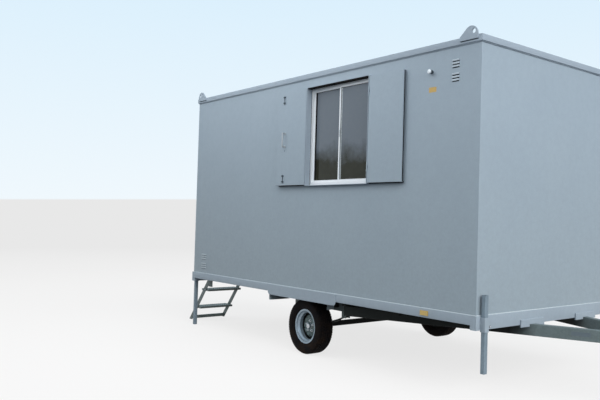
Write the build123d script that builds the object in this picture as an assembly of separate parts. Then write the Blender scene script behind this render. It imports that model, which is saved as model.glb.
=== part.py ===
from build123d import *
import math
import os

# Towable steel site cabin. Millimetres, +X towards the drawbar, +Z up, z = 0 on the
# ground. "near" is the window side (-Y), "far" the plain side (+Y), "rear" the door end.
# Lengths along x are first worked out from the axle and moved by origin_x on export, so
# that the origin is under the middle of the overall length, on the centreline.

# Driving dimensions: body
body_l = 4877.0  # outside of the end walls
body_w = 2286.0  # outside of the side walls
body_h = 2400.0  # underside of the end rails to the roof
wall_t = 50.0  # lined steel panel
rail_out = 15.0  # floor and roof rails stand this proud of the walls
end_rail_h = 117.0
side_rail_h = 80.0
roof_rail_h = 55.0
roof_t = 45.0
roof_drop = 5.0  # roof sheet below the top of its rails
deck_t = 18.0
joist_w = 50.0
joist_h = 60.0
joist_pitch = 430.0  # largest spacing

# Lifting lugs
lug_t = 12.0
lug_l = 199.0
lug_inset = 25.0  # lug end back from the wall corner
lug_head_r = 76.0
lug_head_z = 4.0  # middle of the round head, above the roof rails
lug_hole_r = 19.5
lug_hole_in = 44.0  # from the lug's outer end
lug_hole_z = 33.0  # above the roof rails
lug_low = 33.0  # lug foot below the top of the roof rails

# Window and its steel surround
win_x = 575.0  # centre, ahead of the axle
win_drop = 106.0  # head of the opening below the roof rails
win_w = 993.0
win_h = 1029.0
surround_t = 6.0
surround_out = 40.0
frame_w = 24.0
sill_w = 33.0  # foot of the aluminium frame
frame_set = 20.0  # aluminium frame back from the wall face
frame_past = 10.0  # and past the lining inside
sash_w = 20.0
sash_t = 16.0
sash_lap = 40.0  # the two meeting stiles together
track_edge = 3.0  # frame face to the first sash
track_gap = 4.0
glass_t = 6.0
fit = 0.3  # seats that are assembled, not welded

# Shutters and their hinges
shutter_t = 28.0
shutter_clear = 5.0  # closed leaf to surround
shutter_meet = 8.0  # gap between the closed leaves
rear_leaf_w = 534.0
leaf_edge = 2.0  # leaf edge to hinge axis
leaf_short = 4.0  # leaf ends inside the surround's ends
barrel_r = 6.0
barrel_side = 6.0  # hinge axis to the surround's side
pin_r = 4.0
knuckle_h = 30.0
knuckle_gap = 1.0
hinge_in = 150.0  # hinge centre from the leaf's end
notch_gap = 6.0
handle_from_hinge = 386.0
handle_h = 160.0
handle_low = 15.0  # middle of the handle below the middle of the leaf
handle_out = 34.0
handle_r = 8.0
bolt_h = 90.0
bolt_r = 8.0
bolt_plate_w = 46.0
bolt_plate_t = 4.0
bolt_in = (28.0, 42.0)  # bolt ends from the leaf's foot and head
bolt_from_hinge = 405.0

# Louvres, pipe stub and reflectors
louvre_h = 15.0
louvre_out = 7.0
louvre_pitch = 26.0
louvre_bank = 3
high_louvre_w = 80.0
high_louvre_in = 281.0  # centre, back from the front wall
high_louvre_top = 197.0  # top bank's middle, below the roof
low_louvre_w = 120.0
low_louvre_in = 267.0  # centre, ahead of the rear wall
low_louvre_z = 330.0  # top bank's middle, above the underside of the end rails
bank_step = 117.0
pipe_r = 17.0
pipe_wall = 3.0
pipe_out = 48.0
pipe_in = 556.0  # centre, back from the front wall
pipe_drop = 238.0  # centre, below the roof
cap_head_r = 25.0  # rain cap on the pipe's end
cap_head_t = 14.0
collar_r = 26.0
collar_t = 4.0
reflector_l = 95.0
reflector_h = 42.0
reflector_t = 8.0
reflector_in = 570.0  # centre, back from the front wall

# Corner legs
leg_w = 40.0
leg_l = 630.0
leg_in = 60.0  # leg axis in from the side wall face
leg_lift = 239.5  # front legs stand this far off the ground
sleeve_t = 4.0
sleeve_gap = 1.0
sleeve_low = 12.0  # sleeve foot below the end rails
screw_r = 5.0
screw_head_r = 8.5
screw_head_t = 7.0
boss_r = 11.0
boss_l = 12.0
screw_free = 9.0  # thread showing between boss and head

# Door and steps
door_w = 840.0  # hole in the wall
door_h = 1980.0
door_in = 50.0  # hole in from the inside of the near wall
door_frame_w = 40.0
door_frame_t = 62.0
door_frame_out = 12.0
door_gap = 4.0
door_t = 40.0
door_skin_t = 3.0
door_lap = 16.0
lever_l = 120.0
lever_r = 9.0
spindle_r = 7.0
lever_out = 45.0
lever_z = 1000.0  # above the sill
lock_w = 60.0
lock_h = 180.0
lock_t = 8.0
lock_in = 70.0
step_off = 45.0  # middle of the steps from the middle of the door, towards the near side
step_w = 500.0  # over the stringers
stringer_t = 8.0
stringer_w = 60.0
stringer_angle = 49.5
stringer_top = 20.0  # stringer's middle line below the end rails, where it meets them
tread_depth = 200.0
tread_t = 28.0
tread_drop = (130.0, 385.0)  # below the end rails
step_bar = 40.0
hanger_w = 60.0
hanger_h = 90.0

# Running gear
tyre_r = 294.5
tyre_w = 185.0
shoulder_w = 24.0
shoulder_h = 17.0
crown_h = 2.0
tyre_in = 52.0  # tyre's outer face in from the wall face
axle_drop = 290.0  # axle centre below the end rails
flange_r = 183.0
rim_w = 140.0
rim_t = 4.0
seat_r = 166.0
well_r = 148.0
bead_w = 16.0
well_slope = 18.0
disc_set = 68.0  # wheel disc in from the rim's outer edge
disc_t = 6.0
hub_r = 70.0
hub_l = 62.0
cap_r = 30.0
cap_l = 34.0
stud_r = 6.0
nut_r = 10.0
nut_l = 14.0
stud_circle_r = 56.0
stud_count = 5
shaft_r = 20.0
running = 0.3
axle_w = 50.0
spring_span = 840.0
spring_in = 290.0  # spring centre in from the wall face
spring_w = 45.0
leaf_t = 8.0
leaf_half = (420.0, 315.0, 200.0)
camber = 96.0
eye_r = 17.0
eye_pin_r = 8.0
spring_rail_w = 60.0
spring_rail_h = 100.0
spring_rail_past = 40.0  # rail beyond the rear spring eye
hanger_plate_t = 6.0
hanger_plate_l = 70.0
beam_w = 66.0
beam_h = 100.0
beam_angle = 19.0
beam_out_y = -457.5  # outer face of the beam at the front wall, from the centreline
beam_back = 655.0  # beam end, ahead of the axle
cross_beam_w = 60.0
wheel_plate = (-601.5, 631.5)  # deep side plate, from the axle
wheel_plate_t = 6.0
ledge_h = 4.0  # plates end this far below the top of the rails
wheel_plate_round = 40.0
cleat_l = 334.0
cleat_h = 62.0
cleat_t = 14.0
cleat_up = 42.0  # cleat top above the underside of the end rails

# Coupling and jockey wheel
head_w = 100.0
head_l = 390.0
head_back = 40.0  # head starts this far behind the inner beam corner
eye_reach = 1450.0  # centre of the towing eye ahead of the front wall
tow_eye_r = 25.5
tow_ring_r = 47.0
tow_eye_t = 30.0
tow_shank_w = 50.0
jockey_back = 70.0  # stem axis behind the head's front face
stem_r = 24.0
stem_top = 180.0  # above the end rails' underside
clamp_w = 72.0
clamp_h = 70.0
clamp_gap = 8.0
jockey_r = 100.0
jockey_w = 55.0
fork_t = 6.0
fork_gap = 5.0
jockey_pin_r = 8.0
crank_l = 130.0
crank_r = 7.0
crank_rise = 60.0

# Levels and faces that several pieces share
skirt_z = tyre_r + axle_drop
sole_z = skirt_z + end_rail_h
roof_z = skirt_z + body_h
head_z = roof_z - roof_rail_h
x_end = body_l / 2
y_side = body_w / 2
x_in = x_end - wall_t
y_in = y_side - wall_t
x_rail = x_end + rail_out
y_rail = y_side + rail_out
deck_z = sole_z - deck_t
joist_z = deck_z - joist_h
axle_z = tyre_r

# Overall length, for the origin
front_reach = x_end + eye_reach + tow_ring_r
slope = math.radians(stringer_angle)
step_run = (skirt_z - stringer_top) / math.tan(slope) + stringer_w / 2 / math.sin(slope)
rear_reach = x_rail + step_run
origin_x = (front_reach - rear_reach) / 2


def block(x, y, z):
    """Box between three pairs of limits, given in either order."""
    sizes = [abs(high - low) for low, high in (x, y, z)]
    middle = [(low + high) / 2 for low, high in (x, y, z)]
    return Pos(*middle) * Box(*sizes)


def rod(start, end, radius):
    """Round bar between two points."""
    line = Edge.make_line(start, end)
    return extrude(Plane(line @ 0, z_dir=line % 0) * Circle(radius), line.length)


def ring_xz(x, z, y, band):
    """Rectangular frame in an upright plane along x, from its outer limits."""
    hole = block((x[0] + band, x[1] - band), y, (z[0] + band, z[1] - band))
    return block(x, y, z) - hole


def far_copy(solid):
    """The same piece on the far side."""
    return mirror(solid, Plane.XZ)


def both(solid):
    return [solid, far_copy(solid)]


def prism_xz(points, y0, y1):
    """Extrude an upright outline, given as (x, z) points, between two y faces."""
    wire = Polyline(*[(x, y0, z) for x, z in points], close=True)
    return extrude(make_face(wire), amount=abs(y1 - y0), dir=(0, math.copysign(1, y1 - y0), 0))


# Body shell ---------------------------------------------------------------------------
def floor_deck():
    return [block((-x_in, x_in), (-y_in, y_in), (deck_z, sole_z))]


def floor_joists():
    bays = math.ceil(2 * x_in / joist_pitch)
    pitch = 2 * x_in / bays
    rows = [-x_in + pitch * k for k in range(1, bays)]
    return [
        block((x - joist_w / 2, x + joist_w / 2), (-y_in, y_in), (joist_z, deck_z))
        for x in rows
    ]


def side_rails():
    rail = block((-x_in, x_in), (-y_rail, -y_in), (sole_z - side_rail_h, sole_z))
    return both(rail)


def end_rails():
    front = block((x_in, x_rail), (-y_rail, y_rail), (skirt_z, sole_z))
    return [front, mirror(front, Plane.YZ)]


win_x0, win_x1 = win_x - win_w / 2, win_x + win_w / 2
win_z1 = head_z - win_drop
win_z0 = win_z1 - win_h
pipe_x, pipe_z = x_end - pipe_in, roof_z - pipe_drop


def wall_near():
    wall = block((-x_end, x_end), (-y_side, -y_in), (sole_z, head_z))
    grow = surround_t + fit
    hole = block(
        (win_x0 - grow, win_x1 + grow), (-y_side, -y_in), (win_z0 - grow, win_z1 + grow)
    )
    pipe_hole = rod((pipe_x, -y_side, pipe_z), (pipe_x, -y_in, pipe_z), pipe_r + fit)
    return [wall - hole - pipe_hole]


def wall_far():
    return [block((-x_end, x_end), (y_in, y_side), (sole_z, head_z))]


def wall_front():
    return [block((x_in, x_end), (-y_in, y_in), (sole_z, head_z))]


door_y0 = -y_in + door_in
door_y1 = door_y0 + door_w
door_z1 = sole_z + door_h


def wall_rear_near():
    return [block((-x_end, -x_in), (-y_in, door_y0), (sole_z, door_z1))]


def wall_rear_far():
    return [block((-x_end, -x_in), (door_y1, y_in), (sole_z, door_z1))]


def wall_rear_head():
    return [block((-x_end, -x_in), (-y_in, y_in), (door_z1, head_z))]


def roof_side_rails():
    rail = block((-x_in, x_in), (-y_rail, -y_in), (head_z, roof_z))
    return both(rail)


def roof_end_rails():
    front = block((x_in, x_rail), (-y_rail, y_rail), (head_z, roof_z))
    return [front, mirror(front, Plane.YZ)]


def roof_panel():
    top = roof_z - roof_drop
    return [block((-x_in, x_in), (-y_in, y_in), (top - roof_t, top))]


def lifting_lugs():
    """Upright plates on the outside of the roof rails, one at each corner."""
    x1 = x_end - lug_inset
    x0 = x1 - lug_l
    head_x, head_up = x1 - lug_head_r, roof_z + lug_head_z
    y0, y1 = -y_rail - lug_t, -y_rail
    foot = block((x0, x1), (y0, y1), (roof_z - lug_low, roof_z - fit))
    # The sloping edge leaves the foot's inner corner and runs tangent to the round head.
    run, rise = head_x - x0, head_up - roof_z
    reach = math.hypot(run, rise)
    lean = math.atan2(rise, run) + math.asin(lug_head_r / reach)
    touch_x = head_x - lug_head_r * math.sin(lean)
    touch_z = head_up + lug_head_r * math.cos(lean)
    web = prism_xz(
        [(x0, roof_z - fit), (touch_x, touch_z), (head_x, head_up), (x1, head_up), (x1, roof_z - fit)],
        y0,
        y1,
    )
    head = rod((head_x, y0, head_up), (head_x, y1, head_up), lug_head_r)
    head -= block((x0, x1), (y0, y1), (roof_z - lug_head_r, roof_z - fit))
    hole_x, hole_z = x1 - lug_hole_in, roof_z + lug_hole_z
    hole = rod((hole_x, y0 - 1, hole_z), (hole_x, y1 + 1, hole_z), lug_hole_r)
    lug = foot + web + head - hole
    return both(lug) + both(mirror(lug, Plane.YZ))


# Window -------------------------------------------------------------------------------
def window_surround():
    band = surround_t
    return [
        ring_xz(
            (win_x0 - band, win_x1 + band),
            (win_z0 - band, win_z1 + band),
            (-y_side - surround_out, -y_in),
            band,
        )
    ]


frame_y = -y_side + frame_set
outer_track = frame_y + track_edge
inner_track = outer_track + sash_t + track_gap


def window_frame():
    y = (frame_y, -y_in + frame_past)
    frame = ring_xz((win_x0 + fit, win_x1 - fit), (win_z0 + fit, win_z1 - fit), y, frame_w)
    sill = block((win_x0 + frame_w, win_x1 - frame_w), y, (win_z0 + frame_w, win_z0 + sill_w + fit))
    return [frame + sill]


sash_x0, sash_x1 = win_x0 + frame_w + 2 * fit, win_x1 - frame_w - 2 * fit
sash_z0, sash_z1 = win_z0 + sill_w + 2 * fit, win_z1 - frame_w - 2 * fit
front_sash = ((win_x - sash_lap / 2, sash_x1), outer_track)
rear_sash = ((sash_x0, win_x + sash_lap / 2), inner_track)


def sash(place):
    x, y = place
    return [ring_xz(x, (sash_z0, sash_z1), (y, y + sash_t), sash_w)]


def window_panes():
    edge = sash_w + fit
    panes = []
    for (x0, x1), y in (front_sash, rear_sash):
        middle = y + sash_t / 2
        panes.append(
            block(
                (x0 + edge, x1 - edge),
                (middle - glass_t / 2, middle + glass_t / 2),
                (sash_z0 + edge, sash_z1 - edge),
            )
        )
    return panes


# Shutters: drawn open, folded flat against the wall beside the window ------------------
hinge_y = -y_side - surround_out - shutter_clear / 2
rear_hinge_x = win_x0 - surround_t - barrel_side
front_hinge_x = win_x1 + surround_t + barrel_side
front_leaf_w = (front_hinge_x - rear_hinge_x) - 2 * leaf_edge - shutter_meet - rear_leaf_w
leaf_z0, leaf_z1 = win_z0 + leaf_short, win_z1 + leaf_short / 2
leaf_face = hinge_y + shutter_clear / 2
hinge_rows = (leaf_z0 + hinge_in, leaf_z1 - hinge_in)


def shutter_leaf(axis_x, away, width):
    """One leaf with its hinge knuckles; away is -1 or +1, the way it folds open."""
    near_x = axis_x + away * leaf_edge
    leaf = block(
        (near_x, near_x + away * width), (leaf_face, leaf_face + shutter_t), (leaf_z0, leaf_z1)
    )
    for z in hinge_rows:
        half = knuckle_h / 2
        reach = barrel_r + notch_gap
        leaf -= block(
            (axis_x - reach, axis_x + reach),
            (leaf_face, leaf_face + shutter_t),
            (z - half - knuckle_gap, z + half + knuckle_gap),
        )
        for low in (z - half - knuckle_gap - knuckle_h, z + half + knuckle_gap):
            leaf += rod((axis_x, hinge_y, low), (axis_x, hinge_y, low + knuckle_h), barrel_r)
        stack = 1.5 * knuckle_h + knuckle_gap
        leaf -= rod((axis_x, hinge_y, z - stack), (axis_x, hinge_y, z + stack), pin_r + running)
    return [leaf]


def shutter_hinges():
    """Pins and fixed knuckles, welded to the sides of the surround."""
    pieces = []
    for axis_x, side in ((rear_hinge_x, 1), (front_hinge_x, -1)):
        for z in hinge_rows:
            half = knuckle_h / 2
            stack = 1.5 * knuckle_h + knuckle_gap
            pin = rod((axis_x, hinge_y, z - stack), (axis_x, hinge_y, z + stack), pin_r)
            barrel = rod((axis_x, hinge_y, z - half), (axis_x, hinge_y, z + half), barrel_r)
            tab = block(
                (axis_x, axis_x + side * barrel_side), (hinge_y, hinge_y + barrel_r), (z - half, z + half)
            )
            pieces.append(pin + barrel + tab)
    return pieces


def shutter_fittings():
    """Pull handle and two slide bolts on the inside face of the rear leaf."""
    x = rear_hinge_x - handle_from_hinge
    z = (leaf_z0 + leaf_z1) / 2 - handle_low
    top, low = z + handle_h / 2, z - handle_h / 2
    grip_y = leaf_face - handle_out
    handle = rod((x, grip_y, low), (x, grip_y, top), handle_r)
    for end in (low, top):
        inner = end + math.copysign(handle_r, z - end)
        handle += rod((x, leaf_face, inner), (x, grip_y, inner), handle_r)
    bolts = []
    x = rear_hinge_x - bolt_from_hinge
    for low in (leaf_z0 + bolt_in[0], leaf_z1 - bolt_in[1] - bolt_h):
        half = bolt_plate_w / 2
        face = leaf_face - bolt_plate_t
        plate = block((x - half, x + half), (face, leaf_face), (low, low + bolt_h))
        bolt = rod((x, face, low), (x, face, low + bolt_h), bolt_r)
        bolt -= block((x - half, x + half), (leaf_face, leaf_face + bolt_r), (low, low + bolt_h))
        bolts.append(plate + bolt)
    return [handle] + bolts


# Small fittings on the near wall -------------------------------------------------------
def louvre(x, z, width):
    """A pressed hood, open at its foot."""
    hood = Polyline(
        (x - width / 2, -y_side, z + louvre_h / 2),
        (x - width / 2, -y_side - louvre_out, z - louvre_h / 2),
        (x - width / 2, -y_side, z - louvre_h / 2),
        close=True,
    )
    return extrude(make_face(hood), amount=width, dir=(1, 0, 0))


def louvre_vents():
    hoods = []
    banks = (
        (x_end - high_louvre_in, roof_z - high_louvre_top, high_louvre_w),
        (-x_end + low_louvre_in, skirt_z + low_louvre_z, low_louvre_w),
    )
    for x, z, width in banks:
        for bank in range(2):
            for row in range(louvre_bank):
                level = z - bank * bank_step + (1 - row) * louvre_pitch
                hoods.append(louvre(x, level, width))
    return hoods


def pipe_stub():
    """Short pipe through the wall, shut by a round cap at its outer end."""
    outer, inner = -y_side - pipe_out, -y_in
    tube = rod((pipe_x, outer, pipe_z), (pipe_x, inner, pipe_z), pipe_r)
    tube += rod((pipe_x, -y_side - collar_t, pipe_z), (pipe_x, -y_side, pipe_z), collar_r)
    tube += rod((pipe_x, outer, pipe_z), (pipe_x, outer + cap_head_t, pipe_z), cap_head_r)
    bore = rod((pipe_x, outer + cap_head_t / 2, pipe_z), (pipe_x, inner, pipe_z), pipe_r - pipe_wall)
    return [tube - bore]


def side_reflectors():
    x = x_end - reflector_in
    z = sole_z - side_rail_h / 2
    lens = block(
        (x - reflector_l / 2, x + reflector_l / 2),
        (-y_rail - reflector_t, -y_rail),
        (z - reflector_h / 2, z + reflector_h / 2),
    )
    return both(fillet(lens.faces().sort_by(Axis.Y)[0].edges(), reflector_t / 4))


# Corner legs ---------------------------------------------------------------------------
sleeve_half = leg_w / 2 + sleeve_gap + sleeve_t
leg_x = x_rail + sleeve_half
leg_y = -y_side + leg_in


def leg_sleeves():
    """Square sleeves on the end rails, each with a clamp screw towards the centreline."""
    bore = leg_w / 2 + sleeve_gap
    z0, z1 = skirt_z - sleeve_low, sole_z - sleeve_low
    mid_z = (z0 + z1) / 2
    sleeve = block(
        (leg_x - sleeve_half, leg_x + sleeve_half),
        (leg_y - sleeve_half, leg_y + sleeve_half),
        (z0, z1),
    )
    wall_y = leg_y + sleeve_half
    head_y = wall_y + boss_l + screw_free
    sleeve += rod((leg_x, wall_y, mid_z), (leg_x, wall_y + boss_l, mid_z), boss_r)
    sleeve -= block((leg_x - bore, leg_x + bore), (leg_y - bore, leg_y + bore), (z0, z1))
    sleeve += rod((leg_x, leg_y + leg_w / 2 + fit, mid_z), (leg_x, head_y, mid_z), screw_r)
    head = Plane((leg_x, head_y, mid_z), z_dir=(0, 1, 0)) * RegularPolygon(screw_head_r, 6)
    sleeve += extrude(head, screw_head_t)
    return both(sleeve) + both(mirror(sleeve, Plane.YZ))


def corner_leg(end, side, lift):
    """end is +1 at the drawbar, side is -1 on the window side."""
    x, y = end * leg_x, -side * leg_y
    half = leg_w / 2
    return [block((x - half, x + half), (y - half, y + half), (lift, lift + leg_l))]


# Door and steps ------------------------------------------------------------------------
frame_x = -x_end - door_frame_out


def door_frame():
    outer = block((frame_x, frame_x + door_frame_t), (door_y0, door_y1), (sole_z, door_z1))
    hole = block(
        (frame_x, frame_x + door_frame_t),
        (door_y0 + door_frame_w, door_y1 - door_frame_w),
        (sole_z + door_frame_w, door_z1 - door_frame_w),
    )
    return [outer - hole]


def door_leaf():
    inset = door_frame_w + door_gap
    leaf = block(
        (frame_x, frame_x + door_t), (door_y0 + inset, door_y1 - inset), (sole_z + inset, door_z1 - inset)
    )
    edge = door_frame_w - door_lap
    skin_x = frame_x - door_skin_t
    leaf += block(
        (skin_x, frame_x), (door_y0 + edge, door_y1 - edge), (sole_z + edge, door_z1 - edge)
    )
    lock_y = door_y0 + door_frame_w + lock_in
    lock_z = sole_z + lever_z
    lock_x = skin_x - lock_t
    leaf += block(
        (lock_x, skin_x),
        (lock_y - lock_w / 2, lock_y + lock_w / 2),
        (lock_z - lock_h / 2, lock_z + lock_h / 2),
    )
    grip_x = skin_x - lever_out
    half = lever_r / 2
    leaf += rod((lock_x, lock_y, lock_z), (grip_x, lock_y, lock_z), spindle_r)
    leaf += block(
        (grip_x - half, grip_x + half),
        (lock_y - lever_r, lock_y + lever_l),
        (lock_z - lever_r, lock_z + lever_r),
    )
    return [leaf]


step_y = (door_y0 + door_y1) / 2 - step_off


def stringer_x(z):
    """Middle line of the stringers, from its meeting point with the end rail down."""
    return -x_rail - (skirt_z - stringer_top - z) / math.tan(slope)


def step_stringers():
    """Two flat bars, each welded to a hanger plate under the end rail."""
    half = stringer_w / 2 / math.sin(slope)
    top_z = skirt_z
    outline = [
        (stringer_x(0) - half, 0),
        (stringer_x(0) + half, 0),
        (stringer_x(top_z) + half, top_z),
        (stringer_x(top_z) - half, top_z),
    ]
    bars = []
    for y in (step_y - step_w / 2, step_y + step_w / 2 - stringer_t):
        bar = prism_xz(outline, y, y + stringer_t)
        hanger = block(
            (-x_rail, -x_rail + hanger_w + half), (y, y + stringer_t), (skirt_z - hanger_h, skirt_z)
        )
        bars.append(bar + hanger)
    return bars


def step_treads():
    """Two flat treads and the bar that ties the feet of the stringers."""
    inner = step_w / 2 - stringer_t
    y = (step_y - inner, step_y + inner)
    treads = []
    for drop in tread_drop:
        z = skirt_z - drop
        x = stringer_x(z)
        treads.append(block((x - tread_depth / 2, x + tread_depth / 2), y, (z - tread_t, z)))
    x = stringer_x(step_bar / 2)
    treads.append(block((x - step_bar / 2, x + step_bar / 2), y, (step_bar / 4, step_bar * 5 / 4)))
    return treads


# Chassis -------------------------------------------------------------------------------
def wheel_side_plates():
    """Deeper stretch of the side skirt over each wheel, with rounded lower corners."""
    x0, x1 = wheel_plate
    y = (-y_rail - wheel_plate_t, -y_rail)
    plate = block((x0, x1), y, (skirt_z, sole_z - ledge_h))
    low = [e for e in plate.edges().filter_by(Axis.Y) if e.center().Z < skirt_z + 1]
    return both(fillet(low, wheel_plate_round))


def beam_face(x, offset):
    """y of the near beam's outer face, offset inwards, at a place along x."""
    angle = math.radians(beam_angle)
    return beam_out_y + (x - x_end) * math.tan(angle) + offset / math.cos(angle)


def beam_meets(y, offset):
    """x where that face reaches y."""
    angle = math.radians(beam_angle)
    return x_end + (y - beam_out_y - offset / math.cos(angle)) / math.tan(angle)


def drawbar_beam():
    y = -head_w / 2
    outline = Polyline(
        (beam_back, beam_face(beam_back, 0), skirt_z),
        (beam_meets(y, 0), y, skirt_z),
        (beam_meets(y, beam_w), y, skirt_z),
        (beam_back, beam_face(beam_back, beam_w), skirt_z),
        close=True,
    )
    return [extrude(make_face(outline), amount=beam_h, dir=(0, 0, -1))]


def drawbar_cleats():
    """Flat cleats on the front rail, over the drawbar beams."""
    middle = beam_face(x_rail, beam_w / 2)
    cleat = block(
        (x_rail, x_rail + cleat_t),
        (middle - cleat_l / 2, middle + cleat_l / 2),
        (skirt_z + cleat_up - cleat_h, skirt_z + cleat_up),
    )
    angle = math.radians(beam_angle)
    bite = beam_w / math.cos(angle) / 2 + (cleat_t + rail_out) * math.tan(angle) + fit
    cleat -= block(
        (x_rail, x_rail + cleat_t), (middle - bite, middle + bite), (skirt_z - cleat_h, skirt_z)
    )
    return both(cleat)


spring_y = -y_side + spring_in
eye_x = spring_span / 2
spring_z = axle_z + axle_w / 2 + 2 * leaf_t + leaf_t / 2
eye_z = spring_z + camber
rail_end = eye_x + spring_rail_past


def chassis_cross_beams():
    """Cross beams between the joists and what carries them: drawbar beams, spring rails."""
    half = cross_beam_w / 2
    rows = (-rail_end + half, beam_back + half, (rail_end + x_end) / 2)
    return [block((x - half, x + half), (-y_in, y_in), (skirt_z, joist_z)) for x in rows]


def spring_rails():
    """Rail over each spring, with hanger plates and eye pins at both ends."""
    half = spring_rail_w / 2
    rail = block(
        (-rail_end, beam_back + cross_beam_w),
        (spring_y - half, spring_y + half),
        (skirt_z - spring_rail_h, skirt_z),
    )
    for x in (-eye_x, eye_x):
        for side in (-1, 1):
            inner = spring_y + side * (spring_w / 2 + fit)
            rail += block(
                (x - hanger_plate_l / 2, x + hanger_plate_l / 2),
                (inner, inner + side * hanger_plate_t),
                (eye_z - eye_r, skirt_z - spring_rail_h),
            )
        reach = spring_w / 2 + fit + hanger_plate_t
        rail += rod((x, spring_y - reach, eye_z), (x, spring_y + reach, eye_z), eye_pin_r)
    return both(rail)


def leaf_springs():
    """Three leaves over the axle, the main one with an eye at each end."""
    radius = (eye_x**2 + camber**2) / (2 * camber)
    y = (spring_y - spring_w / 2, spring_y + spring_w / 2)
    centre = (0, y[0], spring_z + radius)
    plane = Plane(centre, x_dir=(1, 0, 0), z_dir=(0, -1, 0))
    spring = None
    for k, half in enumerate(leaf_half):
        inner, outer = radius - leaf_t / 2 + k * leaf_t, radius + leaf_t / 2 + k * leaf_t
        swing = math.degrees(math.asin(half / radius))
        low = CenterArc((0, 0), outer, 270 - swing, 2 * swing)
        high = CenterArc((0, 0), inner, 270 - swing, 2 * swing)
        ends = [Line(low @ 0, high @ 0), Line(low @ 1, high @ 1)]
        leaf = extrude(plane * make_face([low, high] + ends), -spring_w)
        spring = leaf if spring is None else spring + leaf
    for x in (-eye_x, eye_x):
        spring += rod((x, y[0], eye_z), (x, y[1], eye_z), eye_r)
        spring -= rod((x, y[0], eye_z), (x, y[1], eye_z), eye_pin_r + fit)
    return both(spring)


tyre_y = -y_side + tyre_in
rim_y = tyre_y + (tyre_w - rim_w) / 2
disc_y = rim_y + disc_set
hub_y0 = disc_y + disc_t
hub_y1 = hub_y0 + hub_l


def axle_beam():
    """Square beam with a round stub into each hub."""
    square = hub_y1 + running
    beam = block(
        (-axle_w / 2, axle_w / 2), (square, -square), (axle_z - axle_w / 2, axle_z + axle_w / 2)
    )
    return [beam + rod((0, hub_y0, axle_z), (0, -hub_y0, axle_z), shaft_r)]


def wheel_turn(points):
    """Turn an outline of (y, radius) points about the axle."""
    outline = make_face(Polyline(*[(0, y, axle_z + r) for y, r in points], close=True))
    return revolve(outline, Axis((0, 0, axle_z), (0, 1, 0)), 360)


def wheel_rim():
    """Rim, disc and hub, with the grease cap and the wheel nuts."""
    y0, y1 = rim_y, rim_y + rim_w
    bead, drop = bead_w, well_slope
    outer = [
        (y0, flange_r),
        (y0 + rim_t, flange_r),
        (y0 + rim_t, seat_r),
        (y0 + bead, seat_r),
        (y0 + bead + drop, well_r),
        (y1 - bead - drop, well_r),
        (y1 - bead, seat_r),
        (y1 - rim_t, seat_r),
        (y1 - rim_t, flange_r),
        (y1, flange_r),
    ]
    inner = [
        (y1, seat_r - rim_t),
        (y1 - bead, seat_r - rim_t),
        (y1 - bead - drop, well_r - rim_t),
        (y0 + bead + drop, well_r - rim_t),
        (y0 + bead, seat_r - rim_t),
        (y0, seat_r - rim_t),
    ]
    rim = wheel_turn(outer + inner)
    rim += rod((0, disc_y, axle_z), (0, disc_y + disc_t, axle_z), well_r - rim_t / 2)
    rim += rod((0, hub_y0, axle_z), (0, hub_y1, axle_z), hub_r)
    rim += rod((0, disc_y - cap_l, axle_z), (0, disc_y, axle_z), cap_r)
    for k in range(stud_count):
        turn = 2 * math.pi * k / stud_count + math.pi / 2
        x, z = stud_circle_r * math.cos(turn), axle_z + stud_circle_r * math.sin(turn)
        nut = Plane((x, disc_y, z), z_dir=(0, -1, 0)) * RegularPolygon(nut_r, 6)
        rim += extrude(nut, nut_l)
        rim += rod((x, disc_y - nut_l - stud_r, z), (x, disc_y, z), stud_r)
    rim -= rod((0, hub_y0, axle_z), (0, hub_y1, axle_z), shaft_r + running)
    return rim


def tyre():
    """Tyre on its bead seats, rounded at the shoulders."""
    y0, y1 = tyre_y, tyre_y + tyre_w
    toe = (tyre_w - rim_w) / 2 + rim_t + fit
    bulge = (tyre_r + seat_r) / 2
    half = [
        (toe, seat_r + fit),
        (toe, flange_r + fit),
        (toe - rim_t, flange_r + 2 * rim_t),
        (0, bulge),
        (shoulder_w / 4, tyre_r - shoulder_h),
        (shoulder_w, tyre_r - crown_h),
        (2 * shoulder_w, tyre_r),
    ]
    front = [(y0 + y, r) for y, r in half]
    back = [(y1 - y, r) for y, r in reversed(half)]
    return wheel_turn(front + back)


# Coupling and jockey wheel -------------------------------------------------------------
head_x0 = beam_meets(-head_w / 2, beam_w) - head_back
head_x1 = head_x0 + head_l
mid_beam_z = skirt_z - beam_h / 2


def tow_coupling():
    """Drawbar head with its towing eye."""
    eye_cx = x_end + eye_reach
    head = block((head_x0, head_x1), (-head_w / 2, head_w / 2), (skirt_z - beam_h, skirt_z))
    half_t = tow_eye_t / 2
    head += block(
        (head_x1, eye_cx),
        (-tow_shank_w / 2, tow_shank_w / 2),
        (mid_beam_z - half_t, mid_beam_z + half_t),
    )
    low, high = (eye_cx, 0, mid_beam_z - half_t), (eye_cx, 0, mid_beam_z + half_t)
    return [head + rod(low, high, tow_ring_r) - rod(low, high, tow_eye_r)]


stem_x = head_x1 - jockey_back
stem_y = head_w / 2 + clamp_gap + stem_r
fork_z = 2 * jockey_r + fork_gap


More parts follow.
